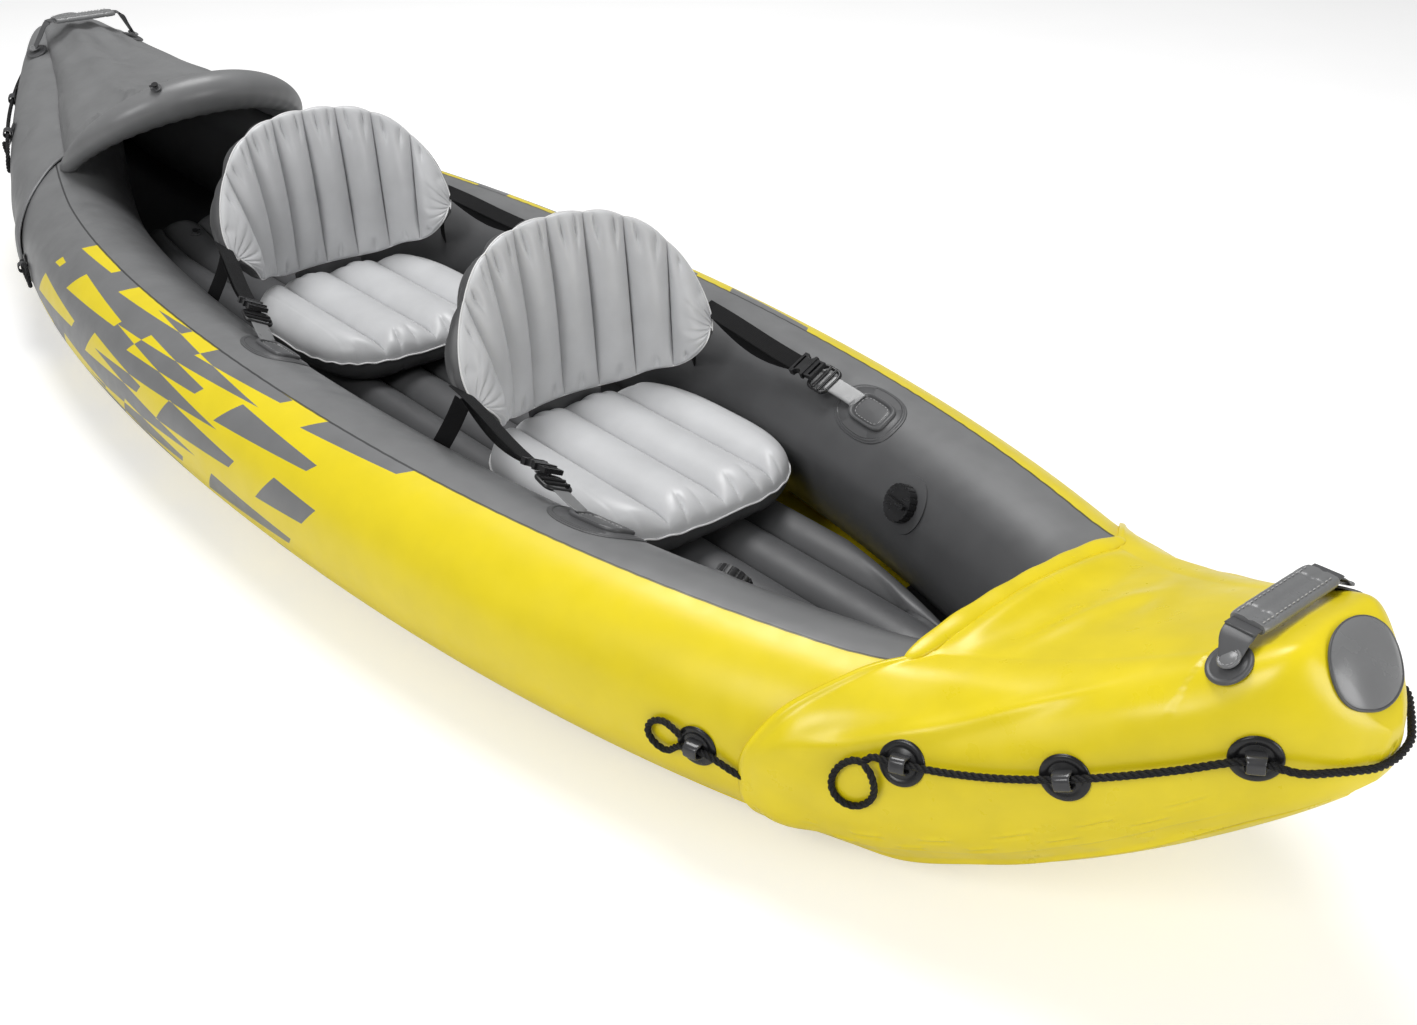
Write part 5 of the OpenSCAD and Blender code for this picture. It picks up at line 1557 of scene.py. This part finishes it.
class KAYAK_OT_harness(bpy.types.Operator):
    """Seat straps, the tongues of their buckles and the oval patches that hold them"""

    bl_idname = "kayak.harness"
    bl_label = "Harness"

    def execute(self, context):
        pads = []
        tongues = []
        for x0, clear, name in zip(SEAT_SPOTS, WING_CLEAR, ("front", "rear")):
            for side, hand in SIDES:
                self.straps(x0, clear, side, name, hand)
                pads += self.patch(x0, clear, side)
                tongues += self.tongue(x0, clear, side)
        made = piece("strap_patch_set", pads, ["patch", "grip", "thread"])
        finish_piece(made, "hull", ["strap_patches"])
        finish_piece(piece("buckle_tongues", tongues, ["black"]), "hull", [])
        return {"FINISHED"}

    def straps(self, x0, clear, side, name, hand):
        """Front strap with its spare tail, and the short rear strap, running between hull and backrest."""
        wing, end, along, normal = pull(x0, clear, side)
        stop = mixed(wing, end, BUCKLE_AT)
        begin = wing - WING_LAP * along
        t = np.linspace(0, 1, 7)[:, None]
        main = mixed(begin, stop, t) + normal * 1.5 * np.sin(2 * np.pi * t)
        sag = np.array([0, 0, 15.0]) * np.sin(np.pi * t)
        tail = mixed(wing + [4.0, 0, 0], stop, t) - normal * 3.2 - sag
        front = piece(f"{name}_{hand}_strap", [strap(main, normal), strap(tail, normal, WEB_W - 2)], ["web"])
        low = flip(back_film(x0, np.float64(0.9), np.float64(0.3), -1) + [-4.0, 0, 0], side)
        foot = skin(x0 + REAR_FOOT[0], REAR_FOOT[1], 1.2, side)
        way = skin_normal(x0 + REAR_FOOT[0], REAR_FOOT[1], side)
        rear_path = np.array([low, mixed(low, foot, 0.5) + 4 * way, foot])
        rear = piece(f"{name}_{hand}_rear_strap", [strap(rear_path, way)], ["web"])
        for made, a, b in ((front, stop, wing), (rear, foot, low)):
            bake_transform(made)
        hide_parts(f"{name}_seat_straps")

    def patch(self, x0, clear, side):
        """Pad, framed plate with stitches, and the tab that leads from the plate to the buckle."""
        x = np.float64(x0 + PATCH_REACH)
        pad = oval_patch(x + PAD_AT, PATCH_TH, side, PAD_HALF, PAD_ROWS)
        plate = oval_patch(x + PLATE_AT, PATCH_TH, side, PLATE_HALF, PLATE_ROWS, 0.5)
        wing, end, way, normal = pull(x0, clear, side)
        a = mixed(wing, end, BUCKLE_AT) + BUCKLE_END * way
        b = skin(x - 16.0, PATCH_TH, 5.4, side)
        tab = strap(np.array([a, end, b]), normal)
        tab.slot = 1
        turn = np.linspace(0, 2 * np.pi, 120)
        dx = SEWN_HALF[0] * blunt(np.cos(turn), 0.5)
        dy = SEWN_HALF[1] * blunt(np.sin(turn), 0.5)
        row = skin(x + PLATE_AT + dx, PATCH_TH + np.degrees(dy / TUBE_R), 4.7, side)
        sewn = stitches(row, np.broadcast_to(normal, row.shape), detail().stitch_len, 2.0, 0.5)
        return [pad, plate, tab, closed(sewn, slot=2)]

    def tongue(self, x0, clear, side):
        """Moulded end of a buckle round its tab: a rounded frame with two bars across the tab."""
        wing, end, way, normal = pull(x0, clear, side)
        across = unit(np.cross(normal, way))
        normal = np.cross(way, across)
        centre = mixed(wing, end, BUCKLE_AT) + TONGUE_AT * way
        turn = np.linspace(0, 2 * np.pi, 73)[:, None]
        long = TONGUE_HALF[0] * blunt(np.cos(turn), 0.5)
        wide = TONGUE_HALF[1] * blunt(np.sin(turn), 0.5)
        rim = closed(tube(centre + long * way + wide * across, 2.9, 12, normal))
        reach = np.linspace(-20.0, 20.0, 9)[:, None]
        bars = [closed(tube(centre + s * way + 2.6 * normal + reach * across, 2.4, 12, normal))
                for s in (-4.0, 6.0)]
        return [rim, *bars]


# Handles

HANDLES = (
    ("bow", 1445.0, 68.0, (1439.0, 0.0, 395.322)),
    ("stern", -1382.0, 72.0, (-1362.0, 0.0, 448.626)),
)
STRAP_LIFT = 5.9
BUTTON_SEWN_R = 8.1
DISC_ROWS = ((0.3, 2.5), (15.5, 2.5), (16.2, 2.0), (18.0, 2.0), (18.7, 2.5),
             (20.6, 2.4), (21.7, 1.7), (22.0, 0.8), (22.0, 0.0))
BUTTON_ROWS = ((0.3, 2.2), (6.4, 2.2), (7.1, 1.7), (9.1, 1.7), (9.7, 2.1),
               (10.5, 1.8), (11.0, 0.9), (11.0, -0.1), (10.5, -0.9), (0.3, -0.9))


class KAYAK_OT_handles(bpy.types.Operator):
    """Carry handles: round patches, vinyl straps with stitched buttons, and folded grips"""

    bl_idname = "kayak.handles"
    bl_label = "Handles"

    def execute(self, context):
        for name, x, th, grip in HANDLES:
            self.patches(name, np.float64(x), th)
            self.webbing(name, np.float64(x), th, np.array(grip))
            self.grip(name, np.array(grip))
        return {"FINISHED"}

    def patches(self, name, x, th):
        """Round patches on the cover with a weld groove near their edge."""
        patches = []
        for side in (-1, 1):
            at = skin(x, th, COVER_C + CONTACT, side)
            normal = skin_normal(x, th, side)
            patches.append(closed(placed(lathe(DISC_ROWS), at, normal, (1, 0, 0))))
        made = piece(f"{name}_handle_discs", patches, ["patch"])
        finish_piece(made, "hull", [f"{name}_handle_patches"])

    def webbing(self, name, x, th, grip):
        """Strap from patch to patch, with a stitched button on each end and full width in the grip."""
        p = skin(x, th, COVER_C + CONTACT + FITTING_T + STRAP_LIFT, 1)
        normal = skin_normal(x, th, 1)
        q = np.array([grip[0], GRIP_LEN / 2, grip[2]])
        k = np.array([mixed(p[0], q[0], 0.8), q[1] + 10, q[2] - 6])
        half = np.array([p, mixed(p, k, 0.55), k, q - [0, 0, 1], q - [0, 6, 0]])
        facing = np.array([[0, 1, 0.7], [0, 1, 0.7], [0, 1, 1.4], [0, 0.2, 1], [0, 0, 1]])
        width = np.array([20.0, 26.0, 30.0, 30.0, 30.0])
        path = np.concatenate([half, half[::-1] * MIRROR])
        facing = np.concatenate([facing, facing[::-1] * MIRROR])
        width = np.concatenate([width, width[::-1]])
        knots = walked(path)
        knots = knots / knots[-1]
        at = np.linspace(0, 1, 120)
        normals = unit(read_at(at, knots, facing))
        patches = [closed(ribbon(resample(path, 120), normals, np.interp(at, knots, width), WEB_T))]
        a = np.linspace(0, 2 * np.pi, 60)
        ring = xyz(BUTTON_SEWN_R * np.cos(a), BUTTON_SEWN_R * np.sin(a), 2.0)
        for side in (-1, 1):
            centre = flip(p, side)
            way = flip(normal, side)
            patches.append(closed(placed(lathe(BUTTON_ROWS), centre, way, (1, 0, 0)), slot=1))
            line = placed(ring, centre, way, (1, 0, 0))
            sewn = stitches(line, np.broadcast_to(way, line.shape), 2.6, 1.5, 0.5)
            patches.append(closed(sewn, slot=2))
        made = piece(f"{name}_handle_web", patches, ["patch", "grip", "thread"])
        finish_piece(made, f"{name}_handle", [f"{name}_handle_strap"])

    def grip(self, name, grip):
        """Folded vinyl sleeve: flat oval with a fold on top, two cross welds, gathers and sewn edges."""
        reach = GRIP_LEN / 2 - 8
        y = np.linspace(-1, 1, 130) * reach
        a = turns(88)[None]
        wide = (GRIP_W / 2) * blunt(np.cos(a), 0.75)
        lip = 1 + 0.16 * bell(np.abs(np.cos(a)) - 0.8, 0.12)
        fold = 1 - 0.3 * bell(np.cos(a), 0.09) * (np.sin(a) > 0)
        high = GRIP_T / 2 * 0.86 * blunt(np.sin(a), 0.8) * lip * fold
        welds = 1 - 0.2 * bell(np.abs(y) - 0.66 * reach, 2.4)
        ripple = 1 + 0.05 * np.sin(y / 3.4 + 2 * np.sin(y / 17.0))[:, None] * np.abs(np.sin(a))
        ends = 1 - 0.1 * np.exp(-((reach - np.abs(y)) / 4.0))[:, None]
        points = xyz(grip[0] + wide * ends, y[:, None], grip[2] + high * ripple * ends * welds[:, None])
        patches = [closed(points)]
        for s in (-1, 1):
            line = xyz(grip[0] + s * 12.5, np.linspace(-0.97, 0.97, 90) * reach, grip[2] + 6.3)
            sewn = stitches(line, np.broadcast_to([0.0, 0, 1], line.shape), detail().stitch_len, 2.2, 0.55)
            patches.append(closed(sewn, slot=1))
        made = piece(f"{name}_grip_sleeve", patches, ["grip", "thread"])
        finish_piece(made, f"{name}_handle", [f"{name}_handle_grip"])


# Fittings

EYE_ROWS = ((0.3, 2.5), (14.0, 2.5), (14.8, 1.9), (16.6, 1.9), (17.4, 2.6),
            (20.6, 2.6), (22.6, 2.1), (23.7, 1.2), (24.0, 0.0))


def rope_eye():
    """Local shapes of a rope fitting: a grooved disc and a bridge bent over the cord."""
    a = np.linspace(0, np.pi, 40)
    y = 8.0 * blunt(np.cos(a), 0.6)
    z = 1.6 + 13.6 * np.abs(np.sin(a)) ** 0.6
    path = xyz(0.0, y, z)
    away = xyz(0.0, np.cos(a), np.sin(a))
    width = 16.0 + 3.0 * np.abs(np.cos(a)) ** 4
    return lathe(EYE_ROWS, 64), ribbon(path, away, width, 3.0)


class KAYAK_OT_fittings(bpy.types.Operator):
    """Rope fittings of the grab lines and of the side ties"""

    bl_idname = "kayak.fittings"
    bl_label = "Rope fittings"

    def execute(self, context):
        d = HALF_LEN - np.array(FITTING_LENS)
        for end, name in ((1, "bow_rope_fittings"), (-1, "stern_rope_fittings")):
            places = []
            for at in d:
                for side in (-1, 1):
                    guide = line_at(end, at + 3.0, side) - line_at(end, at - 3.0, side)
                    x = np.float64(end * at)
                    spot = skin(x, rope_angle(at), COVER_C + CONTACT, side)
                    places.append((spot, skin_normal(x, rope_angle(at), side), guide))
            self.make(name, places)
        places = []
        for x in SIDE_SPOTS:
            for side in (-1, 1):
                spot = np.float64(x)
                places.append((skin(spot, 0.0, CONTACT, side), skin_normal(spot, 0.0, side), (1.0, 0.0, 0.0)))
        self.make("side_rope_fittings", places)
        return {"FINISHED"}

    def make(self, name, places):
        """One piece of all fittings of a group, each disc and bridge moved to its place."""
        disc, bridge = rope_eye()
        discs = np.stack([placed(disc, *p) for p in places])
        bridges = np.stack([placed(bridge, *p) for p in places])
        patches = [closed(discs), closed(bridges, slot=1)]
        made = piece(name.replace("fittings", "eyes"), patches, ["black", "gloss"])
        finish_piece(made, "hull", [name])


# Small parts that stay as solids

SOLID_FINISH = {
    "black": ("strap_buckles", "starboard_valve_cap", "port_valve_cap",
              "floor_valve_plug", "arch_valve_plug"),
    "floor": ("starboard_valve_base", "port_valve_base"),
    "patch": ("floor_valve", "arch_valve"),
    "clear": tuple(f"{seat}_{kind}" for seat in ("front_seat", "rear_seat", "front_backrest", "rear_backrest")
                   for kind in ("valve", "plug")),
}


class KAYAK_OT_small_parts(bpy.types.Operator):
    """Finishes of the buckles, valves, caps and plugs"""

    bl_idname = "kayak.small_parts"
    bl_label = "Small parts"

    def execute(self, context):
        for finish, names in SOLID_FINISH.items():
            for name in names:
                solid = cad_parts[name]
                solid.data.materials.clear()
                solid.data.materials.append(finishes()[finish])
        return {"FINISHED"}


# Add-on

STEPS = ("stage", "cords", "chambers", "bottom", "floor", "bow_cover", "stern_cover", "arch", "end_caps",
         "seat_bases", "backrests", "harness", "handles", "fittings", "small_parts")


class KAYAK_PT_panel(bpy.types.Panel):
    """Sidebar list of the boat's pieces and settings"""

    bl_idname = "KAYAK_PT_panel"
    bl_label = "Kayak"
    bl_space_type = "VIEW_3D"
    bl_region_type = "UI"
    bl_category = "Kayak"

    def draw(self, context):
        for settings in (context.scene.kayak_look, context.scene.kayak_detail):
            for key in settings.__annotations__:
                self.layout.prop(settings, key)
        for step in STEPS:
            self.layout.operator(f"kayak.{step}")


CLASSES = (
    KayakLook, KayakDetail, KAYAK_OT_stage, KAYAK_OT_cords, KAYAK_OT_chambers, KAYAK_OT_bottom,
    KAYAK_OT_floor, KAYAK_OT_bow_cover, KAYAK_OT_stern_cover, KAYAK_OT_arch, KAYAK_OT_end_caps,
    KAYAK_OT_seat_bases, KAYAK_OT_backrests, KAYAK_OT_harness, KAYAK_OT_handles, KAYAK_OT_fittings,
    KAYAK_OT_small_parts, KAYAK_PT_panel,
)


def register():
    """Registers the classes and puts the settings on the scene."""
    for cls in CLASSES:
        bpy.utils.register_class(cls)
    bpy.types.Scene.kayak_look = PointerProperty(type=KayakLook)
    bpy.types.Scene.kayak_detail = PointerProperty(type=KayakDetail)


def unregister():
    """Takes the settings and classes away again."""
    del bpy.types.Scene.kayak_detail
    del bpy.types.Scene.kayak_look
    for cls in reversed(CLASSES):
        bpy.utils.unregister_class(cls)


def main():
    """Makes every piece in order."""
    register()
    for step in STEPS:
        getattr(bpy.ops.kayak, step)()
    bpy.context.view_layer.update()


if __name__ == "__main__":
    main()
